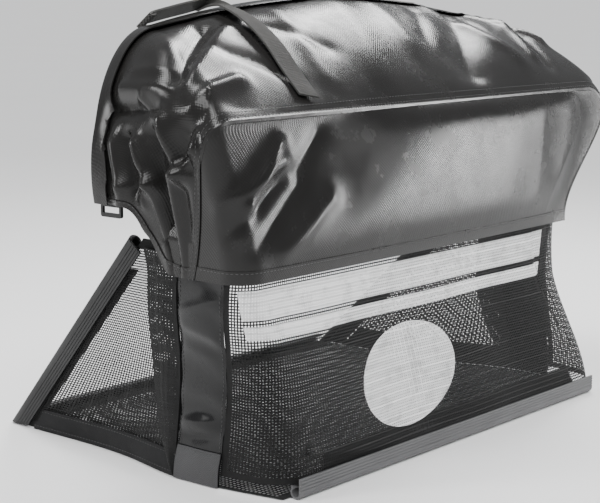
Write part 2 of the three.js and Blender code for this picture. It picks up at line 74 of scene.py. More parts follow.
# Shape values that the part's source also has: millimetres, and shares of a length
BODY_FLARE = 10
CORNER_RADIUS = 38
WALL_LEAN = 0.1
MOUTH_SLOPE = 1.06
SLUMP = -40
SLUMP_HEIGHT = 205
SLUMP_END_SHARE = 0.96
FLOOR_BULGE = 24
RIGHT_BULGE = 9
BULGE_SHARPNESS = 14
BULGE_TOP_SHARE = 0.7
CORNER_SWEEP = 50
RIGHT_TUCK = 20
TUCK_SHARE = 0.11
SEAM_CORNER = 40
ARCH_SHOULDER = 76
SHOULDER_POWER = 0.9
ARCH_CROWN = 26
ARCH_CORNER_WIDTH = 70
ARCH_CORNER_HEIGHT = 120
ARCH_NARROWING = 20
SKIRT_EASE = 5.5
SKIRT_ROOM = 3.1
SIDE_SHARE = 0.24
CORNER_SHARE = 0.12
FOLDS_FROM = 0.12
TOP_FOLDS_FROM = 0.15
TOP_FOLDS_UNTIL = 0.85
INWARD_LIMIT = 20
LIMIT_RISE = 40
STRIP_WIDTH = 56
STRIP_SET_BACK = 78
STRIP_DRIFT = -36
PATCH_HEIGHT = 34
BAND_HEIGHT = 26
SEAM_GAP = 0.5
LAYER_GAP = 0.7
CHANNEL_FACE = 20
CHANNEL_WALL = 2
ROD_RADIUS = 4.2
REAR_FOOT = 2 * (ROD_RADIUS + CHANNEL_WALL) + LAYER_GAP
SIDE_FOOT = 1
FLOOR_FOOT_ROOM = 10.5
NET_THICKNESS = 1.6
CLOTH_THICKNESS = 2
WEBBING_WIDTH = 22
STRAP_LIFT = 9.5
STRAP_RISE = 9
STRAP_BEHIND = 13
STRAP_REAR_X = -200
STRAP_FRONT_X = -166
STRAP_END_X = -246
STRAP_TURN = (0.55, 0.72)
STRAP_FLAT = (0.93, -0.31, -0.18)
STRAP_UPRIGHT = (0.03, -0.8, 0.6)
TAB_WIDTH = 17.6
TAB_DEPTH_SHARE = 0.93
TAB_SHARE = 0.7
TAB_SET_BACK = 5.1
TAB_FORWARD = 5
TAB_RISE = 4
TAB_HANG = 7
LOOP_WIDTH = 7
LOOP_BACK = 7.5
LOOP_DROP = 3.8
REAR_TAPE_WIDTH = 24
TAPE_SET_BACK = 5
TAPE_TOP_GAP = 34
BINDING_WIDTH = 16
BINDING_ROOM = 2.45
BINDING_LEG = 0.4
BAND_SET_BACK = 0.08

# Shape values that only the looks have, in the same units
HEM_DROOP = 1.6
PANEL_BULGE = 14
PANEL_MIDDLE = 280
PANEL_LEFT_SLANT = 1.2
PANEL_LEFT = -270
PANEL_RISE_END = -92
PANEL_RIGHT_SLANT = 0.35
PANEL_FALL_START = 112
PANEL_RIGHT = 280
PANEL_EDGE_POWER = 3.6
PANEL_EDGE_SHARPNESS = 12
PANEL_INWARD_LIMIT = 12
HOOD_CORNER = 24
HOOD_CORNER_TOP = 17
ROUNDED_BELOW_SEAM = 13
ROUNDED_ABOVE_SEAM = 40
ROUNDED_REACH = (130, 180)
SEAM_DRAW = 56
SEAM_DRAW_FALL = 0.36
SEAM_DRAW_LEAST = 13
SEAM_DRAW_REACH = 150
COVER_OVERLAP = -0.011
SIDE_TAPE_WIDTH = 9
PLEAT_REACH = 42
PLEAT_ABOVE_HEM = 22
PLEAT_LIFT = 2.2
PLEAT_PUFF = 2.4
STRIP_RIPPLE = 0.9
STRIP_EDGE_POWER = 0.6
REAR_HANG = 5
FOOT_CREASE_DEPTH = 2.5
FOOT_CREASE_WIDTH = 5
FOOT_CREASE_HEIGHT = 17
FOOT_CREASE_RISE = 30
FOOT_CREASE_RUN = 90
RIPPLE_DEPTH = 2.2
RIPPLE_TOP = 200
CREASE_POWER = 1.5
BEND_SHIFTS = (-0.16, -0.08, 0, 0.08, 0.16)

# Thickness of the cloth pieces, and how far they lie out from the surface below, in millimetres
HOOD_CLOTH = 1.6
ON_HOOD = 1.7
SEAM_RIDGE = 1.1
HEM_LAYER = 0.9
TAPE_LAYER = 1.2
ON_NET = NET_THICKNESS + LAYER_GAP
BEHIND_NET = -2.2
STRIP_CLOTH = 1.4
STRAP_WEBBING = 1.8
TAB_WEBBING = 1.3

# The nets: distance from hole to hole in metres, and each hole's share of its cell
REAR_PITCH = 0.00305
SIDE_PITCH = 0.0032
FLOOR_PITCH = 0.0046
NET_HOLE = 0.52
PLEAT_HOLE = 0.2
PRINTED_HOLE = 0.36

# The plain print on the rear net: a disc's middle and half axes, and two stripes, in millimetres
PRINT_DISC = (-84, 86, 74, 52)
PRINT_STRIPES = ((151, 164), (170, 198))
PRINT_LEFT = -328
PRINT_RIGHT = 112
PRINT_SLANT = 0.35
PRINT_DEPTH = 30

# The side channels: how dark they are beside the others, and the depth in millimetres of the painted
# highlight along their rim at the mouth, with how much paler it is painted
DARK_CHANNEL = 0.1
HIGHLIGHT_RIM_DEPTH = 3.2
HIGHLIGHT_RIM_GAIN = 12

# Folds of the gathered side: (y, z) of one end, (y, z) of the other, depth and width
SIDE_FOLDS = (
    (92, 350, 72, 303, 9, 7),
    (84, 300, 87, 196, 7, 7),
    (40, 338, 71, 303, 8, 7),
    (64, 344, 70, 318, -12, 10),
    (106, 334, 92, 196, -12, 9),
    (130, 326, 115, 289, 10, 7),
    (115, 289, 98, 200, 7, 7),
    (166, 322, 153, 284, 7, 9),
    (153, 284, 161, 250, 5, 8),
    (148, 328, 138, 284, -9, 9),
    (160, 373, 100, 376, 6, 8),
    (168, 354, 110, 358, -9, 8),
)
# Folds over the top, as (x, y) of both ends, depth and width
TOP_FOLDS = (
    (-222, 152, -318, 92, -11, 11),
    (-208, 134, -318, 76, 5, 9),
    (-262, 66, -326, 56, 6, 8),
    (178, 150, 88, 62, -9, 22),
    (150, 160, 200, 70, 5, 14),
    (244, 170, 300, 104, 6, 8),
    (-20, 150, -70, 60, 4, 30),
)
# Small creases that only the cloth's surface has
SIDE_CREASES = (
    (60, 330, 50, 290, -3, 5),
    (58, 296, 60, 196, 3, 9),
    (72, 286, 75, 196, -3.5, 6),
    (122, 300, 108, 240, -3, 5),
    (142, 318, 128, 270, 3, 5),
    (150, 262, 128, 246, 2.5, 6),
    (176, 338, 168, 290, -3, 6),
    (112, 392, 150, 388, 3, 7),
    (128, 366, 108, 352, 4, 4),
    (56, 300, 72, 302, 3, 4),
    (52, 320, 74, 312, -2.5, 3),
)
TOP_CREASES = (
    (-250, 110, -190, 60, -3, 9),
    (-170, 140, -110, 90, -3, 9),
    (-120, 150, -150, 60, 3, 12),
    (40, 150, 20, 90, 3, 16),
    (110, 150, 60, 96, -3, 10),
    (212, 160, 190, 110, -3.5, 9),
    (276, 150, 236, 70, 4, 8),
    (286, 150, 250, 60, -4, 7),
    (-290, 40, -240, 26, -2.5, 7),
)
# Folds of the rear panel, as (x, z) of both ends, depth and width
REAR_FOLDS = (
    (-336, 277, -254, 311, 6, 9),
    (-330, 250, -258, 292, -5, 11),
    (-314, 247, -304, 274, 5, 8),
    (-304, 274, -258, 328, 5, 9),
    (-296, 236, -232, 287, -4, 9),
    (-263, 227, -196, 273, 4, 11),
    (-232, 300, -200, 332, -3, 10),
    (175, 341, 150, 236, 1.2, 20),
    (236, 320, 200, 240, 1.2, 22),
)
# Creases of the coated corner strips, as (across, z) of both ends, depth and width
STRIP_FOLDS = (
    (2, 186, 52, 172, 4, 9),
    (8, 150, 54, 158, 4, 11),
    (2, 130, 48, 136, 2, 9),
    (4, 96, 50, 90, 2, 10),
    (2, 66, 52, 58, 4, 9),
    (6, 50, 54, 44, -3, 7),
)
SIDE_RELIEF = SIDE_FOLDS + SIDE_CREASES
TOP_RELIEF = TOP_FOLDS + TOP_CREASES


# Curves and folds

def clamp01(t):
    return np.clip(t, 0.0, 1.0)


def mix(a, b, t):
    return a + (b - a) * t


def ease(a, b, x):
    """A soft rise from 0 at a to 1 at b."""
    t = clamp01((x - a) / (b - a))
    return t * t * (3 - 2 * t)


def bent(a, b, x):
    """A straight ramp from a to b with softened bends."""
    t = (x - a) / (b - a)
    return sum(clamp01(t + shift) for shift in BEND_SHIFTS) / len(BEND_SHIFTS)


def stack(x, y, z):
    """Points from their three coordinates."""
    return np.stack(np.broadcast_arrays(x, y, z), axis=-1).astype(float)


def fold_sum(folds, a, b):
    """The push of a list of folds at (a, b): each is a ridge or a valley along a line."""
    total = 0.0
    for a0, b0, a1, b1, depth, width in folds:
        da, db = a1 - a0, b1 - b0
        t = clamp01(((a - a0) * da + (b - b0) * db) / (da * da + db * db))
        off = np.hypot(a - a0 - t * da, b - b0 - t * db) / width
        total = total + depth * np.exp(-off ** CREASE_POWER)
    return total


def wrinkle(y, z):
    """Small uneven ripples, by depth and height."""
    return np.sin(z * 0.13 + np.sin(y * 0.05) * 2) * np.sin(z * 0.047 + 1)


class Bag:
    """The bag's shape by height and depth, and its surfaces, which turn two arrays of shares from 0 to 1
    into points."""

    def __init__(self, sizes):
        self.floor_width = sizes.floor_width * 1000
        self.floor_depth = sizes.floor_depth * 1000
        self.body_height = sizes.body_height * 1000
        self.hood_width = sizes.hood_width * 1000
        self.seam_height = sizes.seam_height * 1000
        self.hood_depth = sizes.hood_depth * 1000
        self.skirt_hem = sizes.skirt_hem * 1000
        self.flap_hem = sizes.flap_hem * 1000
        channel_low, channel_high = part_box("rear_channel")
        rear_face = -NET_THICKNESS - LAYER_GAP - CHANNEL_WALL
        middle = (channel_low[0] + channel_high[0]) / 2
        self.shift = np.array([middle, channel_low[1] - rear_face / 1000, 0.0])

    def metres(self, points):
        """Points of the bag's frame in the shared frame."""
        return points / 1000 + self.shift

    def sag(self, z):
        """How far the empty bag leans over to one side at its waist."""
        rise = ease(0, SLUMP_HEIGHT, z)
        return SLUMP * rise * (1 - ease(SLUMP_HEIGHT, self.seam_height * SLUMP_END_SHARE, z))

    def half_width(self, z):
        """Half the width of the bag at a height."""
        waist = self.floor_width / 2 + BODY_FLARE * clamp01(z / SLUMP_HEIGHT)
        spread = self.hood_width / 2 - self.floor_width / 2 - BODY_FLARE
        return waist + spread * ease(SLUMP_HEIGHT, self.seam_height, z)

    def join(self, z):
        """How far the net's top reaches out to the skirt that it is sewn into."""
        return (SKIRT_EASE - SKIRT_ROOM) * ease(self.skirt_hem, self.body_height, z)

    def net_half(self, z):
        return self.half_width(z) + self.join(z)

    def mouth_y(self, z):
        return self.floor_depth - MOUTH_SLOPE * z

    def strip_rear(self, z):
        return STRIP_SET_BACK + STRIP_DRIFT * clamp01(z / SLUMP_HEIGHT)

    def strip_front(self, z):
        return self.strip_rear(z) + STRIP_WIDTH

    def belly(self, side, y, z):
        """How far a side net bulges where it meets the floor."""
        along = (y - STRIP_SET_BACK - STRIP_WIDTH / 2) / self.floor_depth
        bulge = FLOOR_BULGE + (RIGHT_BULGE if side > 0 else 0)
        fall = 1 - ease(0, SLUMP_HEIGHT * BULGE_TOP_SHARE, z)
        return bulge * np.exp(-along * along * BULGE_SHARPNESS) * fall

    def side_x(self, side, y, z):
        """The side wall, which runs into the straight line of its channel at the mouth."""
        wall = self.sag(z) + side * (self.net_half(z) + self.belly(side, y, z))
        top = self.body_height
        straight = self.sag(top) * (z / top)
        straight = straight + side * mix(self.floor_width / 2, self.net_half(top), z / top)
        straight_from = self.mouth_y(z) - CHANNEL_FACE * math.hypot(1, MOUTH_SLOPE)
        return mix(wall, straight, ease(self.strip_front(z), straight_from, y))

    def rear_wall(self, u, v):
        """The rear net and its two rounded corners, from one corner strip to the other."""
        z = mix(REAR_FOOT, self.body_height, v)
        rise = WALL_LEAN * z - self.join(z)
        leg_end = self.strip_rear(z) - SEAM_GAP
        radius = np.minimum(CORNER_RADIUS, leg_end - rise)
        leg_start = rise + radius
        wide = radius + CORNER_SWEEP * ease(0, SLUMP_HEIGHT, z)
        left = -self.side_x(-1, leg_start, z) - radius
        right = self.side_x(1, leg_start, z) - wide
        arc = radius * math.pi / 2
        far_arc = (radius + wide) / 2 * math.pi / 2
        leg = leg_end - leg_start
        flat = left + right
        s = u * (flat + arc + far_arc + 2 * leg)
        left_y = leg_end - s
        left_angle = math.pi / 2 - (s - leg) / radius
        flat_x = s - leg - arc - left
        right_angle = (s - leg - arc - flat) / far_arc * math.pi / 2
        right_y = leg_start + s - leg - arc - far_arc - flat
        where = [s < leg, s < leg + arc, s < leg + arc + flat, s < leg + arc + far_arc + flat]
        x = np.select(where, [
            self.side_x(-1, left_y, z), -(left + radius * np.sin(left_angle)), flat_x,
            right + wide * np.sin(right_angle)], self.side_x(1, right_y, z))
        y = np.select(where, [
            left_y, rise + radius * (1 - np.cos(left_angle)), rise - self.rear_sag(flat_x, z),
            rise + radius * (1 - np.cos(right_angle))], right_y)
        return stack(x, y, z)

    def rear_sag(self, x, z):
        """How far the rear net hangs out, with a crease at its foot and shallow ripples."""
        inside = np.maximum(0, 1 - np.abs(x / (self.floor_width / 2)) ** 4)
        hang = REAR_HANG * inside * np.sin(math.pi * clamp01(z / self.body_height))
        from_left = (x + self.floor_width / 2) / FOOT_CREASE_RUN
        crease_height = FOOT_CREASE_HEIGHT + FOOT_CREASE_RISE * np.exp(-from_left)
        crease = np.exp(-((z - crease_height) / FOOT_CREASE_WIDTH) ** 2)
        ripple = np.sin(x * 0.034 + z * 0.02) * np.sin(math.pi * clamp01(z / RIPPLE_TOP)) * RIPPLE_DEPTH
        return hang + FOOT_CREASE_DEPTH * crease + ripple * inside

    def channel_rear_y(self, z):
        """Where the nets end behind the side channels."""
        return self.mouth_y(z) - REAR_FOOT * math.hypot(1, MOUTH_SLOPE)

    def side_wall(self, side):
        """The side net, from behind its channel to its corner strip."""
        def at(u, v):
            z = mix(SIDE_FOOT, self.body_height, v)
            front = self.channel_rear_y(z)
            y = mix(front, self.strip_front(z) + SEAM_GAP, u if side < 0 else 1 - u)
            return stack(self.side_x(side, y, z), y, z)
        return at

    def side_pleat(self, side):
        """Net folded back on itself, between the strip and a line that swings towards it."""
        def at(u, v):
            z = mix(SIDE_FOOT + 2, self.skirt_hem + PLEAT_ABOVE_HEM, v)
            reach = PLEAT_REACH * (1 - np.exp(-(z - SIDE_FOOT) / PLEAT_REACH))
            across = u if side < 0 else 1 - u
            y = mix(self.strip_front(z) + reach, self.strip_front(z) + 1, across)
            swell = 1 + 0.4 * np.sin(z * 0.09)
            puff = PLEAT_LIFT + PLEAT_PUFF * np.sin(math.pi * clamp01(across)) * swell
            return stack(self.side_x(side, y, z) + side * puff, y, z)
        return at

    def corner_strip(self, side):
        """The coated strip over the seam of the rear net and a side net."""
        def at(u, v):
            z = mix(SIDE_FOOT, self.body_height, v)
            y = mix(self.strip_front(z), self.strip_rear(z), u if side < 0 else 1 - u)
            across = (y - self.strip_rear(z)) / STRIP_WIDTH
            inside = np.sin(math.pi * clamp01(across)) ** STRIP_EDGE_POWER
            pulled = fold_sum(STRIP_FOLDS, across * STRIP_WIDTH, z) * inside
            lift = STRIP_RIPPLE * wrinkle(y, z) + pulled
            return stack(self.side_x(side, y, z) + side * lift, y, z)
        return at

    def hem_height(self, y):
        """The skirt's hem, which rises from the rear to the flap at the front."""
        rise = ease(WALL_LEAN * self.seam_height, self.hood_depth, y) ** HEM_DROOP
        return mix(self.skirt_hem, self.flap_hem, rise)

    def towards_arch(self, z, v):
        """How far the hood follows its front arch here, and not the net below."""
        return ease(0, 1, v) * ease(self.body_height, self.seam_height, z)

    def hood_half(self, z, v):
        arch = self.hood_width / 2 - ARCH_NARROWING
        return mix(self.half_width(z), arch, self.towards_arch(z, v)) + SKIRT_EASE

    def hood_centre(self, z, v):
        return self.sag(z) * (1 - self.towards_arch(z, v))

    def tuck(self, side, v):
        """At its far rear corner the hood is drawn in round the net."""
        return np.where(side > 0, RIGHT_TUCK * (1 - clamp01(v / TUCK_SHARE)), 0.0)

    def rear_seam_y(self, z):
        return WALL_LEAN * z - SKIRT_EASE

    def drawn(self, s, z):
        """How far the cloth is drawn round the near rear corner, from the seam's own place on."""
        low = SEAM_DRAW - SEAM_DRAW_FALL * (z - self.skirt_hem)
        return np.maximum(low, SEAM_DRAW_LEAST) * (1 - ease(0, SEAM_DRAW_REACH, np.abs(s)))

    def rounded(self, points, v):
        """Rounds the near rear corner and draws the seam round it, on to the side."""
        x, y, z = points[..., 0], points[..., 1], points[..., 2]
        low = np.minimum(z, self.seam_height)
        corner_x = self.hood_centre(low, v) - self.hood_half(low, v)
        corner_y = self.rear_seam_y(low)
        a, b = x - corner_x, y - corner_y
        squares = np.maximum(a, 0) ** 2 - np.maximum(b, 0) ** 2
        s = np.sign(squares) * np.sqrt(np.abs(squares))
        out = -np.minimum(a, b)
        along = s - self.drawn(s, z)
        radius = mix(HOOD_CORNER, HOOD_CORNER_TOP, ease(self.skirt_hem, self.seam_height, z))
        angle = clamp01((along + radius) / (2 * radius)) * math.pi / 2
        near_x = corner_x + np.maximum(along - radius, 0) + radius * (1 - np.cos(angle))
        near_y = corner_y + np.maximum(-along - radius, 0) + radius * (1 - np.sin(angle))
        turned = stack(near_x - out * np.cos(angle), near_y - out * np.sin(angle), z)
        from_seam = (self.seam_height - ROUNDED_BELOW_SEAM, self.seam_height + ROUNDED_ABOVE_SEAM)
        share = (1 - ease(*from_seam, z)) * (1 - ease(*ROUNDED_REACH, np.abs(s)))
        return mix(points, turned, share[..., None])

    def corner_radii(self, v):
        """Width and height of the hood's rounded upper corners."""
        return mix(SEAM_CORNER, ARCH_CORNER_WIDTH, v * v), mix(SEAM_CORNER, ARCH_CORNER_HEIGHT, v * v)

    def shoulder(self, v):
        """Height of the hood over its corners."""
        return self.seam_height + ARCH_SHOULDER * np.sin(clamp01(v) * math.pi / 2) ** SHOULDER_POWER

    def hood_y(self, z, v):
        """How deep in the bag the hood's cloth lies at a share v from its rear seam to its front."""
        front = WALL_LEAN * self.seam_height + self.hood_depth
        return mix(self.rear_seam_y(np.minimum(z, self.seam_height)), front, v)

    def cover_side(self, side, p, v):
        """The hood's side, with the folds that the gathers make."""
        _, tall = self.corner_radii(v)
        hem = self.hem_height(self.hood_y(self.skirt_hem, v))
        z = mix(hem, self.shoulder(v) - tall, p / SIDE_SHARE)
        y = self.hood_y(z, v)
        inmost = -INWARD_LIMIT * ease(self.body_height, self.body_height + LIMIT_RISE, z)
        moved = self.drawn(y - self.rear_seam_y(np.minimum(z, self.seam_height)), z)
        push = np.maximum(fold_sum(SIDE_RELIEF, y + moved, z) * ease(0, FOLDS_FROM, v), inmost)
        x = self.hood_centre(z, v) + side * (self.hood_half(z, v) + push - self.tuck(side, v))
        return stack(x, y, z)

    def cover_corner(self, side, p, v):
        """The hood's rounded upper corner, with the folds of the side and of the top."""
        wide, tall = self.corner_radii(v)
        angle = clamp01((p - SIDE_SHARE) / CORNER_SHARE) * math.pi / 2
        z = self.shoulder(v) - tall + tall * np.sin(angle)
        y = self.hood_y(z, v)
        low = np.minimum(z, self.seam_height)
        half = self.hood_half(low, v) - self.tuck(side, v) - wide * (1 - np.cos(angle))
        x = self.hood_centre(low, v) + side * half
        moved = self.drawn(y - self.rear_seam_y(low), z)
        push = fold_sum(SIDE_RELIEF, y + moved, z) * np.cos(angle)
        push = (push + fold_sum(TOP_RELIEF, x, y) * np.sin(angle)) * ease(0, FOLDS_FROM, v)
        return stack(x + side * push * np.cos(angle), y, z + push * np.sin(angle))

    def cover_top(self, side, p, v):
        """The hood's top, which is crowned between its corners."""
        wide, _ = self.corner_radii(v)
        height = self.seam_height
        share = clamp01(1 - (p - SIDE_SHARE - CORNER_SHARE) / (0.5 - SIDE_SHARE - CORNER_SHARE))
        reach = self.hood_half(height, v) - self.tuck(side, v) - wide
        x = self.hood_centre(height, v) + side * reach * share
        y = self.hood_y(height, v)
        crown = ARCH_CROWN * np.sin(clamp01(v) * math.pi / 2) * (1 - share * share)
        folded = fold_sum(TOP_RELIEF, x, y) * ease(0, TOP_FOLDS_FROM, v)
        folded = folded * (1 - ease(TOP_FOLDS_UNTIL, 1, v))
        return stack(x, y, self.shoulder(v) + crown + folded)

    def cover(self, q, v):
        """The piece over both sides and the top, by girth from hem to hem and by depth."""
        side = np.where(q < 0.5, -1.0, 1.0)
        p = np.where(q < 0.5, q, 1 - q)
        on_side = (p < SIDE_SHARE)[..., None]
        on_corner = (p < SIDE_SHARE + CORNER_SHARE)[..., None]
        rounds = [self.cover_side(side, p, v), self.cover_corner(side, p, v)]
        return self.rounded(np.select([on_side, on_corner], rounds, self.cover_top(side, p, v)), v)

    def rear_panel(self, u, v):
        """The panel that fills the outline which the seam draws."""
        z = mix(self.skirt_hem, self.seam_height, v + 0.5 * v * (1 - v))
        low = self.seam_height - SEAM_CORNER
        above = np.maximum(0, z - low)
        inset = SEAM_CORNER - np.sqrt(np.maximum(0, SEAM_CORNER ** 2 - above ** 2))
        half = self.hood_half(z, 0) - inset
        x = mix(-half, half - RIGHT_TUCK, u) + self.hood_centre(z, 0)
        edge = np.sin(math.pi * clamp01(u)) * np.sin(math.pi * clamp01(v))
        inside = np.minimum(1, edge * 4) * ease(0, FOLDS_FROM, v)
        moved = self.drawn(x + half - self.hood_centre(z, 0), z)
        above = z - PANEL_MIDDLE
        rise = bent(PANEL_LEFT, PANEL_RISE_END, x - PANEL_LEFT_SLANT * above)
        facet = rise * (1 - bent(PANEL_FALL_START, PANEL_RIGHT, x - PANEL_RIGHT_SLANT * above))
        facet = facet * (1 - np.abs(2 * v - 1) ** PANEL_EDGE_POWER)
        facet = facet * clamp01((1 - u) * PANEL_EDGE_SHARPNESS) * clamp01(u * PANEL_EDGE_SHARPNESS)
        drape = PANEL_BULGE * facet + fold_sum(REAR_FOLDS, x - moved, z) * inside
        limit = PANEL_INWARD_LIMIT * ease(self.body_height, self.body_height + LIMIT_RISE, z)
        return self.rounded(stack(x, self.rear_seam_y(z) - np.maximum(drape, -limit), z), 0.0)

    def folded_over(self, share, room):
        """A strip that is folded over the hood's front edge."""
        def at(u, v):
            step = SLOPE_STEP
            turn = clamp01((v - BINDING_LEG) / (1 - 2 * BINDING_LEG))
            depth = np.where(v < 0.5, mix(1 - share, 1, clamp01(v / BINDING_LEG)),
                             mix(1, 1 - share, clamp01((v - 1 + BINDING_LEG) / BINDING_LEG)))
            p = self.cover(u, depth)
            along = self.cover(np.minimum(1, u + step), depth) - self.cover(np.maximum(0, u - step), depth)
            across = p - self.cover(u, depth - step)
            normal = unit(np.cross(along, across))
            middle = CLOTH_THICKNESS / 2
            radius = middle + room
            angle = turn[..., None] * math.pi
            out = middle + radius * np.cos(angle)
            return p + normal * out + unit(across) * radius * np.sin(angle)
        return at

    def on_hood(self, x, v, lift):
        """A point over the hood's top, at a distance x from the middle."""
        half = self.hood_half(self.seam_height, v) - mix(SEAM_CORNER, ARCH_CORNER_WIDTH, v * v)
        inward = 1 - min(1, abs(x) / half)
        p = mix(SIDE_SHARE + CORNER_SHARE, 0.5, inward)
        q = p if x < 0 else 1 - p
        return self.cover(np.array(q), np.array(v)) + np.array([0, 0, lift])

    def strap(self):
        """The carry strap: from the rear seam over the hood, then along its front to a curled end."""
        near = [self.on_hood(mix(STRAP_REAR_X, STRAP_FRONT_X, v), v, STRAP_LIFT)
                for v in (0.05, 0.2, 0.4, 0.6, 0.8, 0.95)]
        far = [self.on_hood(mix(STRAP_FRONT_X - 6, STRAP_END_X, t), 1.0, STRAP_RISE)
               + np.array([0, STRAP_BEHIND, 0]) for t in (0, 0.25, 0.5, 0.75, 1)]
        curl = [self.on_hood(STRAP_END_X - out, 1.0, STRAP_RISE) + np.array([0, STRAP_BEHIND - under, 0])
                for out, under in ((8, 4), (4, 8))]
        path = Path(near + far + curl)
        flat = np.array(STRAP_FLAT)
        upright = np.array(STRAP_UPRIGHT)

        def at(u, v):
            across = unit(mix(flat, upright, ease(*STRAP_TURN, u)[..., None]))
            return path.at(u) + across * ((0.5 - v) * -WEBBING_WIDTH)[..., None]
        return at

    def tab(self, side):
        """The webbing that goes down inside the hood's edge, through the lock and back up."""
        share = SIDE_SHARE * TAB_SHARE
        corner, upper = (
            self.cover(np.array(q if side < 0 else 1 - q), np.array(TAB_DEPTH_SHARE)) for q in (0.0, share))
        x = corner[0] - side * TAB_SET_BACK
        upper_x = upper[0] - side * TAB_SET_BACK
        y = corner[1] + TAB_FORWARD
        slot_top = self.flap_hem + TAB_RISE
        hang = slot_top + TAB_HANG
        middle = ((x + upper_x) / 2 - side * LOOP_BACK, y, (hang + upper[2]) / 2)
        path = Path([np.array(p) for p in (
            (upper_x, y, upper[2]), (x, y, hang), (x, y, slot_top),
            (x - side * LOOP_WIDTH / 2, y, slot_top - LOOP_DROP), (x - side * LOOP_WIDTH, y, slot_top),
            (x - side * LOOP_BACK, y, hang), middle)])

        def at(u, v):
            return path.at(u) + stack(0, (v - 0.5) * side * -TAB_WIDTH, 0)
        return at

    def mouth_tape(self, side):
        """The tape that backs a side net behind its channel."""
        def at(u, v):
            z = mix(SIDE_FOOT + 3 * NET_THICKNESS, self.body_height - TAPE_TOP_GAP, v)
            front = self.channel_rear_y(z) - TAPE_SET_BACK
            back = front - SIDE_TAPE_WIDTH * math.hypot(1, MOUTH_SLOPE)
            y = mix(front, back, u if side < 0 else 1 - u)
            return stack(self.side_x(side, y, z), y, z)
        return at

    def floor(self, u, v):
        """The floor net, which rises a little over its front channel."""
        rear = -NET_THICKNESS - LAYER_GAP - CHANNEL_WALL + REAR_FOOT
        front = self.floor_depth - REAR_FOOT
        y = mix(rear, front, u)
        level = self.floor_depth - CHANNEL_FACE - 4
        lift = (CHANNEL_WALL + LAYER_GAP) * ease(front - 3 * CHANNEL_FACE, level, y)
        inset = 1.1 + FLOOR_FOOT_ROOM * ease(front - 2 * CHANNEL_FACE, front - CHANNEL_FACE, y)
        left = self.side_x(-1, y, 0) + inset
        right = self.side_x(1, y, 0) - inset
        return stack(mix(left, right, v), y, NET_THICKNESS + lift)


PATH_STEPS = 24


class Path:
    """A smooth line through points, by its share of length."""

    def __init__(self, points):
        pts = [2 * points[0] - points[1], *points, 2 * points[-1] - points[-2]]
        line = []
        t = np.linspace(0, 1, PATH_STEPS, endpoint=False)[:, None]
        for p0, p1, p2, p3 in zip(pts, pts[1:], pts[2:], pts[3:]):
            d0, d1, d2 = (math.sqrt(np.linalg.norm(b - a)) for a, b in ((p0, p1), (p1, p2), (p2, p3)))
            t1 = ((p1 - p0) / d0 - (p2 - p0) / (d0 + d1) + (p2 - p1) / d1) * d1
            t2 = ((p2 - p1) / d1 - (p3 - p1) / (d1 + d2) + (p3 - p2) / d2) * d1
            line.append(p1 + t1 * t + (3 * (p2 - p1) - 2 * t1 - t2) * t ** 2
                        + (2 * (p1 - p2) + t1 + t2) * t ** 3)
        self.points = np.vstack([*line, points[-1][None]])
        steps = np.linalg.norm(np.diff(self.points, axis=0), axis=1)
        self.share = np.concatenate([[0], np.cumsum(steps)]) / steps.sum()

    def at(self, u):
        u = clamp01(u)
        return np.stack([np.interp(u, self.share, self.points[:, k]) for k in range(3)], axis=-1)


def unit(v):
    """Directions of length 1."""
    return v / np.maximum(np.linalg.norm(v, axis=-1, keepdims=True), 1e-9)


# Meshes

SLOPE_STEP = 1e-3
SHARP_ANGLE = math.radians(50)


def sampled(at, columns, rows, trim=(0, 1, 0, 1)):
    """Points and outward directions of a surface on a grid, and flat lengths along it."""
    u, v = np.meshgrid(np.linspace(trim[0], trim[1], columns + 1),
                       np.linspace(trim[2], trim[3], rows + 1))
    step = SLOPE_STEP
    along = at(np.minimum(1, u + step), v) - at(np.maximum(0, u - step), v)
    up = at(u, np.minimum(1, v + step)) - at(u, v - step)
    points = at(u, v)
    across_steps = np.linalg.norm(np.diff(points, axis=1), axis=2)
    up_steps = np.linalg.norm(np.diff(points, axis=0), axis=2)
    lengths = np.concatenate([[0], np.cumsum(across_steps.mean(axis=0))])
    heights = np.concatenate([[0], np.cumsum(up_steps.mean(axis=1))])
    flat = np.stack(np.meshgrid(lengths, heights), axis=-1) / 1000
    return points, unit(np.cross(along, up)), flat


def surface_area(points):
    """Area of a grid of points in square metres."""
    a = points[1:, 1:] - points[:-1, :-1]
    b = points[1:, :-1] - points[:-1, 1:]
    return float(np.linalg.norm(np.cross(a, b), axis=-1).sum() / 2) / 1e6


def grid_faces(columns, rows, offset=0, flip=False):
    i, j = np.meshgrid(np.arange(columns), np.arange(rows))
    a = (j * (columns + 1) + i + offset).ravel()
    quads = np.stack([a, a + 1, a + columns + 2, a + columns + 1], axis=1)
    return quads[:, ::-1] if flip else quads


def mesh_object(name, points, faces, flat, material):
    """A smooth piece, with its flat lengths as its UV map."""
    mesh = bpy.data.meshes.new(name)
    mesh.from_pydata(points.tolist(), [], faces.tolist())
    layer = mesh.uv_layers.new(name="UVMap")
    corners = np.empty(len(mesh.loops), dtype=np.int32)
    mesh.loops.foreach_get("vertex_index", corners)
    layer.data.foreach_set("uv", flat[corners].astype(np.float32).ravel())
    mesh.polygons.foreach_set("use_smooth", [True] * len(mesh.polygons))
    mesh.set_sharp_from_angle(angle=SHARP_ANGLE)
    mesh.materials.append(material)
    piece = bpy.data.objects.new(name, mesh)
    bpy.context.scene.collection.objects.link(piece)
    return piece


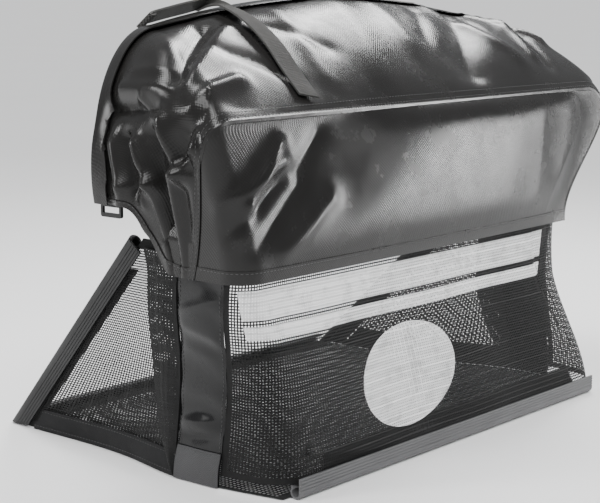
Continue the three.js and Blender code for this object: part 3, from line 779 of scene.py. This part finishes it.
def cloth(bag, name, at, columns, rows, material, thickness, lift=0.0, trim=(0, 1, 0, 1)):
    """A closed sheet of cloth over a surface, raised from it by lift."""
    points, normals, flat = sampled(at, columns, rows, trim)
    inner = (points + normals * lift).reshape(-1, 3)
    outer = (points + normals * (lift + thickness)).reshape(-1, 3)
    count = len(inner)
    rim = np.concatenate([
        np.arange(columns + 1), (np.arange(1, rows + 1)) * (columns + 1) + columns,
        rows * (columns + 1) + np.arange(columns - 1, -1, -1),
        np.arange(rows - 1, 0, -1) * (columns + 1)])
    after = np.roll(rim, -1)
    sides = np.stack([rim, after, after + count, rim + count], axis=1)
    faces = np.concatenate([grid_faces(columns, rows, count), grid_faces(columns, rows, 0, True), sides])
    both = np.concatenate([inner, outer])
    piece = mesh_object(name, bag.metres(both), faces, np.tile(flat.reshape(-1, 2), (2, 1)), material)
    return measured(piece, points, flat)


def measured(piece, points, flat):
    """Keeps a cloth's flat lengths and area on its piece, and fixes the piece to the bag."""
    piece["flat_width"], piece["flat_length"] = (float(x) for x in flat[-1, -1])
    piece["flat_area"] = surface_area(points)
    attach(piece, "root")
    return piece


# Geometry Nodes

STITCH_SHARE = 0.68


def new_tree(name, sockets):
    """A node tree with these inputs, which ends in Realize Instances and Set Material."""
    tree = bpy.data.node_groups.new(name, "GeometryNodeTree")
    tree.interface.new_socket("Geometry", in_out="INPUT", socket_type="NodeSocketGeometry")
    tree.interface.new_socket("Geometry", in_out="OUTPUT", socket_type="NodeSocketGeometry")
    for label, kind, default in sockets:
        socket = tree.interface.new_socket(label, in_out="INPUT", socket_type=kind)
        if default is not None:
            socket.default_value = default
    start = tree.nodes.new("NodeGroupInput")
    realize = tree.nodes.new("GeometryNodeRealizeInstances")
    paint = tree.nodes.new("GeometryNodeSetMaterial")
    end = tree.nodes.new("NodeGroupOutput")
    tree.links.new(realize.outputs[0], paint.inputs["Geometry"])
    tree.links.new(start.outputs["Material"], paint.inputs["Material"])
    tree.links.new(paint.outputs[0], end.inputs[0])
    return tree, start, realize


def stitch_tree():
    """Rows of thread stitches along lines of edges."""
    tree, start, realize = new_tree("Stitch rows", (
        ("Pitch", "NodeSocketFloat", 0.0045), ("Stitch length", "NodeSocketFloat", 0.003),
        ("Thread", "NodeSocketFloat", 0.0008), ("Material", "NodeSocketMaterial", None)))
    new, link = tree.nodes.new, tree.links.new
    curve = new("GeometryNodeMeshToCurve")
    spots = new("GeometryNodeCurveToPoints")
    spots.mode = "LENGTH"
    bead = new("GeometryNodeMeshUVSphere")
    bead.inputs["Segments"].default_value = 6
    bead.inputs["Rings"].default_value = 4
    bead.inputs["Radius"].default_value = 0.5
    size = new("ShaderNodeCombineXYZ")
    place = new("GeometryNodeInstanceOnPoints")
    smooth = new("GeometryNodeSetShadeSmooth")
    link(start.outputs["Geometry"], curve.inputs["Mesh"])
    link(curve.outputs[0], spots.inputs["Curve"])
    link(start.outputs["Pitch"], spots.inputs["Length"])
    link(spots.outputs["Points"], place.inputs["Points"])
    link(spots.outputs["Rotation"], place.inputs["Rotation"])
    link(bead.outputs["Mesh"], smooth.inputs["Geometry"])
    link(smooth.outputs[0], place.inputs["Instance"])
    link(start.outputs["Thread"], size.inputs["X"])
    link(start.outputs["Thread"], size.inputs["Y"])
    link(start.outputs["Stitch length"], size.inputs["Z"])
    link(size.outputs[0], place.inputs["Scale"])
    link(place.outputs[0], realize.inputs[0])
    return tree


def net_tree():
    """Opens a hole in each cell of a net that is marked open, as wide as the cell's own share."""
    tree, start, realize = new_tree("Net holes", (
        ("Hole scale", "NodeSocketFloat", 1.0), ("Material", "NodeSocketMaterial", None)))
    new, link = tree.nodes.new, tree.links.new
    marked = new("GeometryNodeInputNamedAttribute")
    marked.data_type = "BOOLEAN"
    marked.inputs["Name"].default_value = "open_cell"
    share = new("GeometryNodeInputNamedAttribute")
    share.data_type = "FLOAT"
    share.inputs["Name"].default_value = "hole_share"
    wide = new("ShaderNodeMath")
    wide.operation = "MULTIPLY"
    inset = new("GeometryNodeExtrudeMesh")
    inset.mode = "FACES"
    inset.inputs["Offset Scale"].default_value = 0.0
    inset.inputs["Individual"].default_value = True
    shrink = new("GeometryNodeScaleElements")
    remove = new("GeometryNodeDeleteGeometry")
    remove.domain = "FACE"
    link(start.outputs["Geometry"], inset.inputs["Mesh"])
    link(marked.outputs["Attribute"], inset.inputs["Selection"])
    link(inset.outputs["Mesh"], shrink.inputs["Geometry"])
    link(inset.outputs["Top"], shrink.inputs["Selection"])
    link(share.outputs["Attribute"], wide.inputs[0])
    link(start.outputs["Hole scale"], wide.inputs[1])
    link(wide.outputs[0], shrink.inputs["Scale"])
    link(shrink.outputs[0], remove.inputs["Geometry"])
    link(inset.outputs["Top"], remove.inputs["Selection"])
    link(remove.outputs[0], realize.inputs[0])
    return tree


def grown(piece, tree, values):
    """The piece as its node tree makes it, as a plain mesh."""
    modifier = piece.modifiers.new(tree.name, "NODES")
    modifier.node_group = tree
    for item in tree.interface.items_tree:
        if item.in_out == "INPUT" and item.name in values:
            modifier[item.identifier] = values[item.name]
    graph = bpy.context.evaluated_depsgraph_get()
    mesh = bpy.data.meshes.new_from_object(piece.evaluated_get(graph))
    piece.modifiers.remove(modifier)
    old = piece.data
    piece.data = mesh
    mesh.name = old.name
    bpy.data.meshes.remove(old)
    return piece


def stitches(bag, name, lines, material, pitch=0.0045, thread=0.0008):
    """Stitches along lines of points in the bag's frame, pitch and thread in metres."""
    points, edges, start = [], [], 0
    for line in lines:
        points.append(bag.metres(line))
        edges += [(start + k, start + k + 1) for k in range(len(line) - 1)]
        start += len(line)
    mesh = bpy.data.meshes.new(name)
    mesh.from_pydata(np.vstack(points).tolist(), edges, [])
    piece = bpy.data.objects.new(name, mesh)
    bpy.context.scene.collection.objects.link(piece)
    tree = bpy.data.node_groups.get("Stitch rows") or stitch_tree()
    grown(piece, tree, {"Pitch": pitch, "Stitch length": pitch * STITCH_SHARE, "Thread": thread,
                        "Material": material})
    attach(piece, "root")
    return piece


def line_on(at, lift, u=None, v=None, span=(0, 1), count=160):
    """Points along one line of a surface, at one u or one v, raised by lift."""
    t = np.linspace(span[0], span[1], count + 1)
    us, vs = (np.full_like(t, u), t) if u is not None else (t, np.full_like(t, v))
    step = SLOPE_STEP
    along = at(np.minimum(1, us + step), vs) - at(np.maximum(0, us - step), vs)
    up = at(us, np.minimum(1, vs + step)) - at(us, np.maximum(0, vs - step))
    return at(us, vs) + unit(np.cross(along, up)) * lift


def net(bag, name, at, pitch, hems, material, hole=NET_HOLE):
    """A net whose cells are open, apart from the closed hems: (left, right, foot, top) cells."""
    flat = sampled(at, 60, 30)[2]
    columns = max(4, round(flat[-1, -1, 0] / pitch))
    rows = max(4, round(flat[-1, -1, 1] / pitch))
    points, normals, flat = sampled(at, columns, rows)
    middle = points + normals * NET_THICKNESS / 2
    piece = mesh_object(name, bag.metres(middle.reshape(-1, 3)), grid_faces(columns, rows),
                        flat.reshape(-1, 2), material)
    left, right, foot, top = hems
    cells = np.zeros((rows, columns), dtype=bool)
    cells[foot:rows - top, left:columns - right] = True
    marks = piece.data.attributes.new("open_cell", "BOOLEAN", "FACE")
    marks.data.foreach_set("value", cells.ravel())
    middles = (points[1:, 1:] + points[:-1, :-1]) / 2
    shares = np.where(printed_cells(middles), min(hole, PRINTED_HOLE), hole)
    widths = piece.data.attributes.new("hole_share", "FLOAT", "FACE")
    widths.data.foreach_set("value", shares.astype(np.float32).ravel())
    tree = bpy.data.node_groups.get("Net holes") or net_tree()
    grown(piece, tree, {"Hole scale": 1.0, "Material": material})
    return measured(piece, points, flat)


# Materials

class Shader:
    """A material's nodes, made and linked in few words."""

    def __init__(self, name):
        self.material = bpy.data.materials.new(name)
        self.material.use_nodes = True
        self.tree = self.material.node_tree
        self.shader = self.tree.nodes["Principled BSDF"]

    def node(self, kind, **values):
        made = self.tree.nodes.new(kind)
        for key, value in values.items():
            setattr(made, key, value)
        return made

    def put(self, socket, value):
        if hasattr(value, "is_output"):
            self.tree.links.new(value, socket)
        else:
            socket.default_value = value

    def math(self, operation, a, b=0.0, c=0.0):
        made = self.node("ShaderNodeMath", operation=operation)
        for socket, value in zip(made.inputs, (a, b, c)):
            self.put(socket, value)
        return made.outputs[0]

    def coordinates(self, kind="Object"):
        return self.node("ShaderNodeTexCoord").outputs[kind]

    def parts(self, vector):
        made = self.node("ShaderNodeSeparateXYZ")
        self.put(made.inputs[0], vector)
        return made.outputs

    def noise(self, scale, detail=3.0, roughness=0.55, vector=None):
        made = self.node("ShaderNodeTexNoise")
        made.inputs["Scale"].default_value = scale
        made.inputs["Detail"].default_value = detail
        made.inputs["Roughness"].default_value = roughness
        self.put(made.inputs["Vector"], vector or self.coordinates())
        return made.outputs["Fac"]

    def ramp(self, value, low, high, start=0.0, end=1.0):
        made = self.node("ShaderNodeMapRange")
        for key, number in (("From Min", start), ("From Max", end), ("To Min", low), ("To Max", high)):
            made.inputs[key].default_value = number
        self.put(made.inputs["Value"], value)
        return made.outputs[0]

    def blend(self, factor, a, b):
        made = self.node("ShaderNodeMix", data_type="RGBA")
        self.put(made.inputs[0], factor)
        self.put(made.inputs[6], a)
        self.put(made.inputs[7], b)
        return made.outputs[2]

    def bump(self, height, distance, strength=1.0, normal=None):
        made = self.node("ShaderNodeBump")
        made.inputs["Distance"].default_value = distance
        made.inputs["Strength"].default_value = strength
        self.put(made.inputs["Height"], height)
        if normal is not None:
            self.put(made.inputs["Normal"], normal)
        return made.outputs[0]

    def weave(self, pitch_u, pitch_v):
        """Height of a plain weave on the cloth's flat lengths."""
        u, v, _ = self.parts(self.coordinates("UV"))
        wave_u = self.math("SINE", self.math("MULTIPLY", u, math.tau / pitch_u))
        wave_v = self.math("SINE", self.math("MULTIPLY", v, math.tau / pitch_v))
        return self.math("MULTIPLY", wave_u, wave_v)


def shade(colour, factor):
    """The colour, darker or paler by a factor."""
    return (*(min(1.0, c * factor) for c in colour[:3]), 1.0)


def fabric(name, colour, roughness, pitch, depth, worn=0.25, crumple=0.0, coat=0.0, coat_roughness=0.3):
    """Woven cloth: its weave with painted shade in its hollows, uneven colour and handling marks, with a coat
    where it is proofed.
    """
    s = Shader(name)
    weave = s.weave(*pitch)
    tone = s.ramp(s.noise(9, 5), 0.0, 1.0, 0.35, 0.7)
    base = s.blend(tone, shade(colour, 1 - worn), shade(colour, 1 + worn))
    # Painted shade: the weave's hollows are painted darker
    weave_hollow_shade = s.ramp(weave, 1.0, 0.0, -1.0, 0.2)
    base = s.blend(s.math("MULTIPLY", weave_hollow_shade, 0.35), base, shade(colour, 0.45))
    s.put(s.shader.inputs["Base Color"], base)
    scuffs = s.noise(30, 6, 0.65)
    s.put(s.shader.inputs["Roughness"], s.ramp(scuffs, roughness - 0.07, roughness + 0.1, 0.3, 0.7))
    normal = s.bump(weave, depth)
    if crumple:
        normal = s.bump(s.noise(22, 4, 0.5), crumple, 1.0, normal)
    s.put(s.shader.inputs["Normal"], normal)
    s.shader.inputs["Specular IOR Level"].default_value = 0.22
    if coat:
        s.shader.inputs["Coat Weight"].default_value = coat
        s.shader.inputs["Coat Roughness"].default_value = coat_roughness
        s.tree.links.new(normal, s.shader.inputs["Coat Normal"])
    return s.material


def printed_cells(points):
    """Where the rear net carries print, for points in the bag's frame."""
    x, y, z = points[..., 0], points[..., 1], points[..., 2]
    across, height, wide, tall = PRINT_DISC
    mask = ((x - across) / wide) ** 2 + ((z - height) / tall) ** 2 < 1
    for low, high in PRINT_STRIPES:
        mask |= (z > low) & (z < high) & (x > PRINT_LEFT) & (x - PRINT_SLANT * z < PRINT_RIGHT)
    return mask & (y < PRINT_DEPTH)


def printed_net(name, colour, white, bag):
    """The net's thread, with a plain disc and stripes printed on the rear."""
    s = Shader(name)
    x, y, z = s.parts(s.coordinates())
    x = s.math("MULTIPLY", s.math("SUBTRACT", x, float(bag.shift[0])), 1000)
    y = s.math("MULTIPLY", s.math("SUBTRACT", y, float(bag.shift[1])), 1000)
    z = s.math("MULTIPLY", z, 1000)
    across, height, wide, tall = PRINT_DISC
    disc = s.math("ADD", s.math("POWER", s.math("DIVIDE", s.math("SUBTRACT", x, across), wide), 2),
                  s.math("POWER", s.math("DIVIDE", s.math("SUBTRACT", z, height), tall), 2))
    mask = s.math("LESS_THAN", disc, 1)
    slanted = s.math("SUBTRACT", x, s.math("MULTIPLY", z, PRINT_SLANT))
    inside = s.math("MULTIPLY", s.math("GREATER_THAN", x, PRINT_LEFT),
                    s.math("LESS_THAN", slanted, PRINT_RIGHT))
    for low, high in PRINT_STRIPES:
        stripe = s.math("MULTIPLY", s.math("GREATER_THAN", z, low), s.math("LESS_THAN", z, high))
        mask = s.math("MAXIMUM", mask, s.math("MULTIPLY", stripe, inside))
    mask = s.math("MULTIPLY", mask, s.math("LESS_THAN", y, PRINT_DEPTH))
    worn = s.ramp(s.noise(60, 5, 0.6), 0.75, 1.0, 0.35, 0.5)
    tone = s.blend(s.noise(40, 3), shade(colour, 0.7), shade(colour, 1.4))
    s.put(s.shader.inputs["Base Color"], s.blend(s.math("MULTIPLY", mask, worn), tone, shade(white, 1)))
    s.shader.inputs["Roughness"].default_value = 0.6
    s.shader.inputs["Specular IOR Level"].default_value = 0.2
    threads = s.weave(0.0011, 0.0011)
    s.put(s.shader.inputs["Normal"], s.bump(threads, 0.0002))
    return s.material


def plastic(name, colour, roughness, grain=0.00006, scuffed=0.2, rim=None):
    """Moulded or drawn plastic with a fine grain and scuffs, and a painted highlight along a rim at the
    mouth.
    """
    s = Shader(name)
    tone = s.noise(14, 5, 0.6)
    x, y, z = s.parts(s.coordinates())
    streaks = s.node("ShaderNodeCombineXYZ")
    s.put(streaks.inputs[0], s.math("MULTIPLY", x, 0.06))
    s.put(streaks.inputs[1], y)
    s.put(streaks.inputs[2], z)
    drawn = s.noise(420, 2, 0.5, streaks.outputs[0])
    mixed = s.math("ADD", s.math("MULTIPLY", tone, 0.6), s.math("MULTIPLY", drawn, 0.4))
    worn = s.ramp(mixed, 0.0, 1.0, 0.35, 0.65)
    s.shader.inputs["Specular IOR Level"].default_value = 0.3
    base = s.blend(worn, shade(colour, 1 - scuffed), shade(colour, 1 + scuffed))
    # Painted highlight: the face nearest the mouth is painted many times paler, standing in for the glint
    # along the rim
    if rim:
        mouth = s.math("ADD", y, s.math("MULTIPLY", z, MOUTH_SLOPE))
        edge = float(rim.shift[1]) + (rim.floor_depth - HIGHLIGHT_RIM_DEPTH) / 1000
        base = s.blend(s.math("GREATER_THAN", mouth, edge), base, shade(colour, HIGHLIGHT_RIM_GAIN))
    s.put(s.shader.inputs["Base Color"], base)
    s.put(s.shader.inputs["Roughness"], s.ramp(tone, roughness - 0.06, roughness + 0.12, 0.3, 0.7))
    s.put(s.shader.inputs["Normal"], s.bump(s.noise(1400, 2), grain, 0.6))
    return s.material


def material(key):
    """The finish of that name, made once from the chosen colours."""
    kept = bpy.data.materials.get(key)
    if kept:
        return kept
    colours = bpy.context.scene.bag_colours
    bag = Bag(bpy.context.scene.bag_sizes)
    recipes = {
        "hood cloth": lambda: fabric(
            key, colours.hood, roughness=0.22, pitch=(0.0034, 0.0034), depth=0.00005, worn=0.2,
            crumple=0.0005, coat=0.08, coat_roughness=0.14),
        "strip cloth": lambda: fabric(
            key, colours.strip, roughness=0.22, pitch=(0.003, 0.003), depth=0.00002, worn=0.15,
            crumple=0.001, coat=0.1, coat_roughness=0.12),
        "patch cloth": lambda: fabric(
            key, colours.patch, roughness=0.5, pitch=(0.0022, 0.0022), depth=0.0003, worn=0.15),
        "tape weave": lambda: fabric(
            key, colours.tape, roughness=0.7, pitch=(0.0016, 0.0024), depth=0.0003, worn=0.2),
        "webbing weave": lambda: fabric(
            key, colours.webbing, roughness=0.68, pitch=(0.0021, 0.0044), depth=0.0006, worn=0.25),
        "sewing thread": lambda: fabric(
            key, colours.thread, roughness=0.6, pitch=(0.001, 0.001), depth=0.0001, worn=0.1),
        "net thread": lambda: printed_net(key, colours.net, colours.white, bag),
        "channel plastic": lambda: plastic(key, colours.channel, roughness=0.42),
        # The side channels carry a painted highlight along their rim at the mouth
        "dark channel plastic": lambda: plastic(
            key, shade(colours.channel, DARK_CHANNEL), roughness=0.5, rim=bag),
        "buckle plastic": lambda: plastic(key, colours.buckle, roughness=0.38),
    }
    return recipes[key]()


# Settings

def length(label, description, default):
    """A size in metres that the sidebar shows."""
    return FloatProperty(name=label, description=description, default=default, min=0.01,
                         unit="LENGTH", subtype="DISTANCE")


def colour(label, description, default):
    """A colour that the sidebar shows."""
    return FloatVectorProperty(name=label, description=description, default=default, size=3,
                               min=0.0, max=1.0, subtype="COLOR")


class BagSizes(PropertyGroup):
    """The bag's main sizes."""
    floor_width: length("Floor width", "Width between the side channels at the floor", 0.52)
    floor_depth: length("Floor depth", "Depth of the floor from rear to mouth", 0.409)
    body_height: length("Body height", "Height of the net body", 0.236)
    hood_width: length("Hood width", "Widest width of the hood", 0.675)
    seam_height: length("Seam height", "Height of the seam over the rear panel", 0.348)
    hood_depth: length("Hood depth", "Depth of the hood at its top", 0.155)
    skirt_hem: length("Skirt height", "Height of the skirt's hem at the rear", 0.205)
    flap_hem: length("Flap height", "Height of the hem at the hood's front corners", 0.266)


class BagColours(PropertyGroup):
    """The colours of the bag's materials."""
    hood: colour("Hood", "Coated hood cloth", (0.014, 0.0135, 0.013))
    strip: colour("Strip", "Glossy corner strips", (0.005, 0.005, 0.0053))
    patch: colour("Patch", "Patches at the foot of the strips", (0.06, 0.06, 0.062))
    net: colour("Net", "Net thread", (0.006, 0.006, 0.006))
    white: colour("Print", "Print on the rear net", (0.82, 0.82, 0.82))
    tape: colour("Tape", "Binding and backing tapes", (0.01, 0.01, 0.0105))
    webbing: colour("Webbing", "Strap and tab webbing", (0.05, 0.049, 0.047))
    thread: colour("Thread", "Sewing thread", (0.06, 0.06, 0.06))
    channel: colour("Channel", "Clip-on channels", (0.09, 0.09, 0.092))
    buckle: colour("Buckle", "Ladder locks", (0.014, 0.014, 0.014))


def shape():
    """The bag with the sizes that are set in the sidebar."""
    return Bag(bpy.context.scene.bag_sizes)


HANDS = ((-1, "left"), (1, "right"))


# Operators


class BuildHood(Operator):
    """The hood's cover and its rear panel, with their folds."""
    bl_idname = "bag.hood"
    bl_label = "Hood"

    def execute(self, context):
        bag = shape()
        cloth_of = material("hood cloth")
        cover = cloth(bag, "hood_cover_cloth", bag.cover, 330, 96, cloth_of, HOOD_CLOTH,
                      trim=(0, 1, COVER_OVERLAP, 1))
        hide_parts("hood_cover")
        rear = cloth(bag, "hood_rear_cloth", bag.rear_panel, 230, 60, cloth_of, HOOD_CLOTH)
        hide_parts("hood_rear_panel")
        return {"FINISHED"}


class BuildHoodTrim(Operator):
    """The hood's seam, hems and front binding, with their stitching."""
    bl_idname = "bag.hood_trim"
    bl_label = "Hood seams and hems"

    def execute(self, context):
        bag = shape()
        cloth_of = material("hood cloth")
        seam = cloth(bag, "hood_seam_ridge", bag.cover, 330, 4, cloth_of, SEAM_RIDGE, ON_HOOD,
                     (0, 1, COVER_OVERLAP, 0.055))
        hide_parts("hood_seam_tape")
        folded = bag.folded_over(BINDING_WIDTH / bag.hood_depth, BINDING_ROOM)
        binding = cloth(bag, "hood_binding", folded, 260, 14, cloth_of, TAPE_LAYER)
        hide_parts("hood_front_binding")
        for name, at, columns, rows, trim in (
                ("hood_hem_left", bag.cover, 4, 60, (0, 0.022, 0.03, 0.9)),
                ("hood_hem_right", bag.cover, 4, 60, (0.978, 1, 0.03, 0.9)),
                ("hood_hem_rear", bag.rear_panel, 200, 4, (0, 1, 0, 0.06))):
            hem = cloth(bag, name, at, columns, rows, cloth_of, HEM_LAYER, ON_HOOD, trim)
        on_ridge = ON_HOOD + SEAM_RIDGE + 0.1
        on_hem = ON_HOOD + HEM_LAYER
        lines = [line_on(bag.cover, on_ridge, v=0.016, count=500),
                 line_on(bag.cover, on_ridge, v=0.044, count=500),
                 line_on(bag.cover, on_hem, u=0.018, span=(0.05, 0.88)),
                 line_on(bag.cover, on_hem, u=0.982, span=(0.05, 0.88)),
                 line_on(bag.rear_panel, on_hem, v=0.05, span=(0.01, 0.99), count=300)]
        sewn = stitches(bag, "hood_stitching", lines, material("sewing thread"))
        return {"FINISHED"}


class BuildNets(Operator):
    """The nets of the rear, the sides and the floor, with the folded net beside the strips."""
    bl_idname = "bag.nets"
    bl_label = "Nets"

    def execute(self, context):
        bag = shape()
        thread = material("net thread")
        rear = net(bag, "rear_net", bag.rear_wall, REAR_PITCH, (2, 2, 2, 5), thread)
        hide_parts("rear_mesh_panel")
        nets = [rear]
        for side, hand in HANDS:
            wall = net(bag, f"side_net_{hand}", bag.side_wall(side), SIDE_PITCH, (2, 2, 3, 4), thread)
            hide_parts(f"side_mesh_{hand}")
            pleat = net(bag, f"side_pleat_{hand}", bag.side_pleat(side), SIDE_PITCH, (1, 1, 0, 0), thread,
                        PLEAT_HOLE)
            nets += [wall, pleat]
        floor = net(bag, "floor_net", bag.floor, FLOOR_PITCH, (2, 2, 1, 1), thread)
        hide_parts("floor_mesh_panel")
        return {"FINISHED"}


class BuildStrips(Operator):
    """The corner strips, their patches and the hem bands along the sides."""
    bl_idname = "bag.strips"
    bl_label = "Strips, patches and bands"

    def execute(self, context):
        bag = shape()
        tall = bag.body_height - SIDE_FOOT
        for side, hand in HANDS:
            at = bag.corner_strip(side)
            strip = cloth(bag, f"strip_{hand}", at, 30, 110, material("strip cloth"), STRIP_CLOTH)
            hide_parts(f"corner_strip_{hand}")
            patch = cloth(bag, f"patch_{hand}", at, 24, 14, material("patch cloth"), TAPE_LAYER, ON_NET,
                          (0, 1, 0, PATCH_HEIGHT / tall))
            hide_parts(f"corner_patch_{hand}")
            ends = (BAND_SET_BACK, 1) if side < 0 else (0, 1 - BAND_SET_BACK)
            wall = bag.side_wall(side)
            band = cloth(bag, f"hem_band_{hand}", wall, 90, 8, material("tape weave"), TAPE_LAYER, ON_NET,
                         (*ends, 0, BAND_HEIGHT / tall))
            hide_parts(f"side_hem_band_{hand}")
            on_band = ON_NET + TAPE_LAYER + 0.1
            lines = [line_on(at, NET_THICKNESS, u=0.05, span=(0.15, 0.98)),
                     line_on(at, NET_THICKNESS, u=0.95, span=(0.15, 0.98)),
                     line_on(at, on_band, v=0.135, span=(0.04, 0.96)),
                     line_on(wall, on_band, v=0.02, span=ends),
                     line_on(wall, on_band, v=0.098, span=ends)]
            sewn = stitches(bag, f"strip_stitching_{hand}", lines, material("sewing thread"))
        return {"FINISHED"}


class BuildTapes(Operator):
    """The tapes that back the net where the channels are sewn on."""
    bl_idname = "bag.tapes"
    bl_label = "Backing tapes"

    def execute(self, context):
        bag = shape()
        weave = material("tape weave")
        for side, hand in HANDS:
            tape = cloth(bag, f"edge_tape_{hand}", bag.mouth_tape(side), 8, 60, weave, TAPE_LAYER, BEHIND_NET)
            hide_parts(f"side_edge_tape_{hand}")
        share = REAR_TAPE_WIDTH / (bag.body_height - REAR_FOOT)
        tape = cloth(bag, "rear_tape", bag.rear_wall, 160, 8, weave, TAPE_LAYER, BEHIND_NET,
                     (0.17, 0.83, 0, share))
        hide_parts("rear_edge_tape")
        return {"FINISHED"}


class BuildWebbing(Operator):
    """The carry strap and the tabs that hold the ladder locks."""
    bl_idname = "bag.webbing"
    bl_label = "Strap and tabs"

    def execute(self, context):
        bag = shape()
        weave = material("webbing weave")
        strap = cloth(bag, "strap_webbing", bag.strap(), 160, 8, weave, STRAP_WEBBING)
        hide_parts("carry_strap")
        for side, hand in HANDS:
            tab = cloth(bag, f"tab_webbing_{hand}", bag.tab(side), 80, 6, weave, TAB_WEBBING)
            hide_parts(f"hood_tab_{hand}")
        return {"FINISHED"}


class FinishPlastics(Operator):
    """The finish of the clip-on channels and the ladder locks."""
    bl_idname = "bag.plastics"
    bl_label = "Channels and ladder locks"

    def execute(self, context):
        finishes = {"rear_channel": "channel plastic", "floor_front_channel": "channel plastic"}
        for _, hand in HANDS:
            finishes[f"side_channel_{hand}"] = "dark channel plastic"
            finishes[f"ladder_lock_{hand}"] = "buckle plastic"
        for node, key in finishes.items():
            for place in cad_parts[node].material_slots:
                place.material = material(key)
        return {"FINISHED"}


class DeclareCloth(Operator):
    """Does nothing; the pieces keep the flat lengths and areas they were given when they were built."""
    bl_idname = "bag.declare"
    bl_label = "Declare the cloth"

    def execute(self, context):
        return {"FINISHED"}


# The camera: its place in millimetres in the bag's frame, its direction from above, its pitch in
# degrees and its lens in millimetres
CAMERA_PLACE = (-1314.45, -910.63, 466.0)
CAMERA_HEADING = (0.758, 0.652)
CAMERA_PITCH = 9.55
CAMERA_LENS = 94.74
CAMERA_SENSOR = 36
# The floor and the lights, in metres
FLOOR_REACH = 60.0
FLOOR_GAP = 0.0005
WORLD_COLOUR = (0.95, 0.97, 1.0, 1)
WORLD_STRENGTH = 0.34
LIGHTS_AIM = (0.0, -0.08, 0.25)
# Name, place, width, height, power in watts and roll in degrees of each soft light
SOFT_LIGHTS = (
    ("top light", (1.1, 0.35, 1.4), 0.6, 0.5, 18, 0),
    ("shoulder light", (-0.3, 0.1, 1.6), 0.7, 0.5, 14, 0),
    ("left light", (-1.8, 0.9, 0.9), 0.4, 0.8, 24, 0),
    ("rear light", (1.42, -1.2, 0.3), 0.24, 0.8, 22, -24),
)
OVERHEAD_DIRECTION = (0.35, 0.45, -0.82)
OVERHEAD_STRENGTH = 3.2
OVERHEAD_ANGLE = 40


class BuildStage(Operator):
    """The camera, the pale floor and the studio lights."""
    bl_idname = "bag.stage"
    bl_label = "Stage"

    def execute(self, context):
        self.add_camera(context.scene)
        self.add_floor(context.scene)
        self.add_lights(context.scene)
        return {"FINISHED"}

    def add_camera(self, scene):
        lens = bpy.data.cameras.new("photo camera")
        lens.lens = CAMERA_LENS
        lens.sensor_width = CAMERA_SENSOR
        lens.clip_start = 0.05
        camera = bpy.data.objects.new("photo camera", lens)
        camera.location = shape().metres(np.array(CAMERA_PLACE))
        pitch = math.radians(CAMERA_PITCH)
        x, y = CAMERA_HEADING
        ahead = Vector((x * math.cos(pitch), y * math.cos(pitch), -math.sin(pitch)))
        camera.rotation_euler = ahead.to_track_quat("-Z", "Y").to_euler()
        scene.collection.objects.link(camera)
        scene.camera = camera

    def add_floor(self, scene):
        mesh = bpy.data.meshes.new("floor")
        low = CAD_BOX[0][2] - FLOOR_GAP
        corners = [(x * FLOOR_REACH, y * FLOOR_REACH, low) for x, y in ((-1, -1), (1, -1), (1, 1), (-1, 1))]
        mesh.from_pydata(corners, [], [(0, 1, 2, 3)])
        s = Shader("pale floor")
        tone = s.noise(1.5, 3)
        s.put(s.shader.inputs["Base Color"], s.blend(tone, (0.86, 0.86, 0.86, 1), (0.9, 0.9, 0.9, 1)))
        s.shader.inputs["Roughness"].default_value = 0.75
        mesh.materials.append(s.material)
        floor = bpy.data.objects.new("floor", mesh)
        scene.collection.objects.link(floor)

    def add_lights(self, scene):
        world = bpy.data.worlds.new("studio")
        world.use_nodes = True
        background = world.node_tree.nodes["Background"]
        background.inputs["Color"].default_value = WORLD_COLOUR
        background.inputs["Strength"].default_value = WORLD_STRENGTH
        scene.world = world
        for name, place, width, height, power, roll in SOFT_LIGHTS:
            light = bpy.data.lights.new(name, "AREA")
            light.energy = power
            light.shape = "RECTANGLE"
            light.size = width
            light.size_y = height
            lamp = bpy.data.objects.new(name, light)
            lamp.location = place
            turn = Quaternion((0, 0, 1), math.radians(roll))
            towards = Vector(LIGHTS_AIM) - lamp.location
            lamp.rotation_euler = (towards.to_track_quat("-Z", "Y") @ turn).to_euler()
            scene.collection.objects.link(lamp)
        light = bpy.data.lights.new("overhead light", "SUN")
        light.energy = OVERHEAD_STRENGTH
        light.angle = math.radians(OVERHEAD_ANGLE)
        lamp = bpy.data.objects.new("overhead light", light)
        lamp.rotation_euler = Vector(OVERHEAD_DIRECTION).to_track_quat("-Z", "Y").to_euler()
        scene.collection.objects.link(lamp)


class BagPanel(Panel):
    """Lists the bag's settings and its pieces in the 3D view's sidebar."""
    bl_idname = "VIEW3D_PT_grass_bag"
    bl_label = "Grass bag"
    bl_space_type = "VIEW_3D"
    bl_region_type = "UI"
    bl_category = "Grass bag"

    def draw(self, context):
        for settings in (context.scene.bag_sizes, context.scene.bag_colours):
            for key in settings.__annotations__:
                self.layout.prop(settings, key)
        for kind in OPERATORS:
            self.layout.operator(kind.bl_idname)


OPERATORS = (BuildStage, BuildHood, BuildHoodTrim, BuildNets, BuildStrips, BuildTapes, BuildWebbing,
             FinishPlastics, DeclareCloth)
CLASSES = (BagSizes, BagColours, *OPERATORS, BagPanel)


def register():
    for kind in CLASSES:
        bpy.utils.register_class(kind)
    bpy.types.Scene.bag_sizes = PointerProperty(type=BagSizes)
    bpy.types.Scene.bag_colours = PointerProperty(type=BagColours)


def unregister():
    del bpy.types.Scene.bag_colours
    del bpy.types.Scene.bag_sizes
    for kind in reversed(CLASSES):
        bpy.utils.unregister_class(kind)


def main():
    register()
    bpy.ops.bag.stage()
    bpy.ops.bag.hood()
    bpy.ops.bag.hood_trim()
    bpy.ops.bag.nets()
    bpy.ops.bag.strips()
    bpy.ops.bag.tapes()
    bpy.ops.bag.webbing()
    bpy.ops.bag.plastics()
    bpy.ops.bag.declare()


if __name__ == "__main__":
    main()
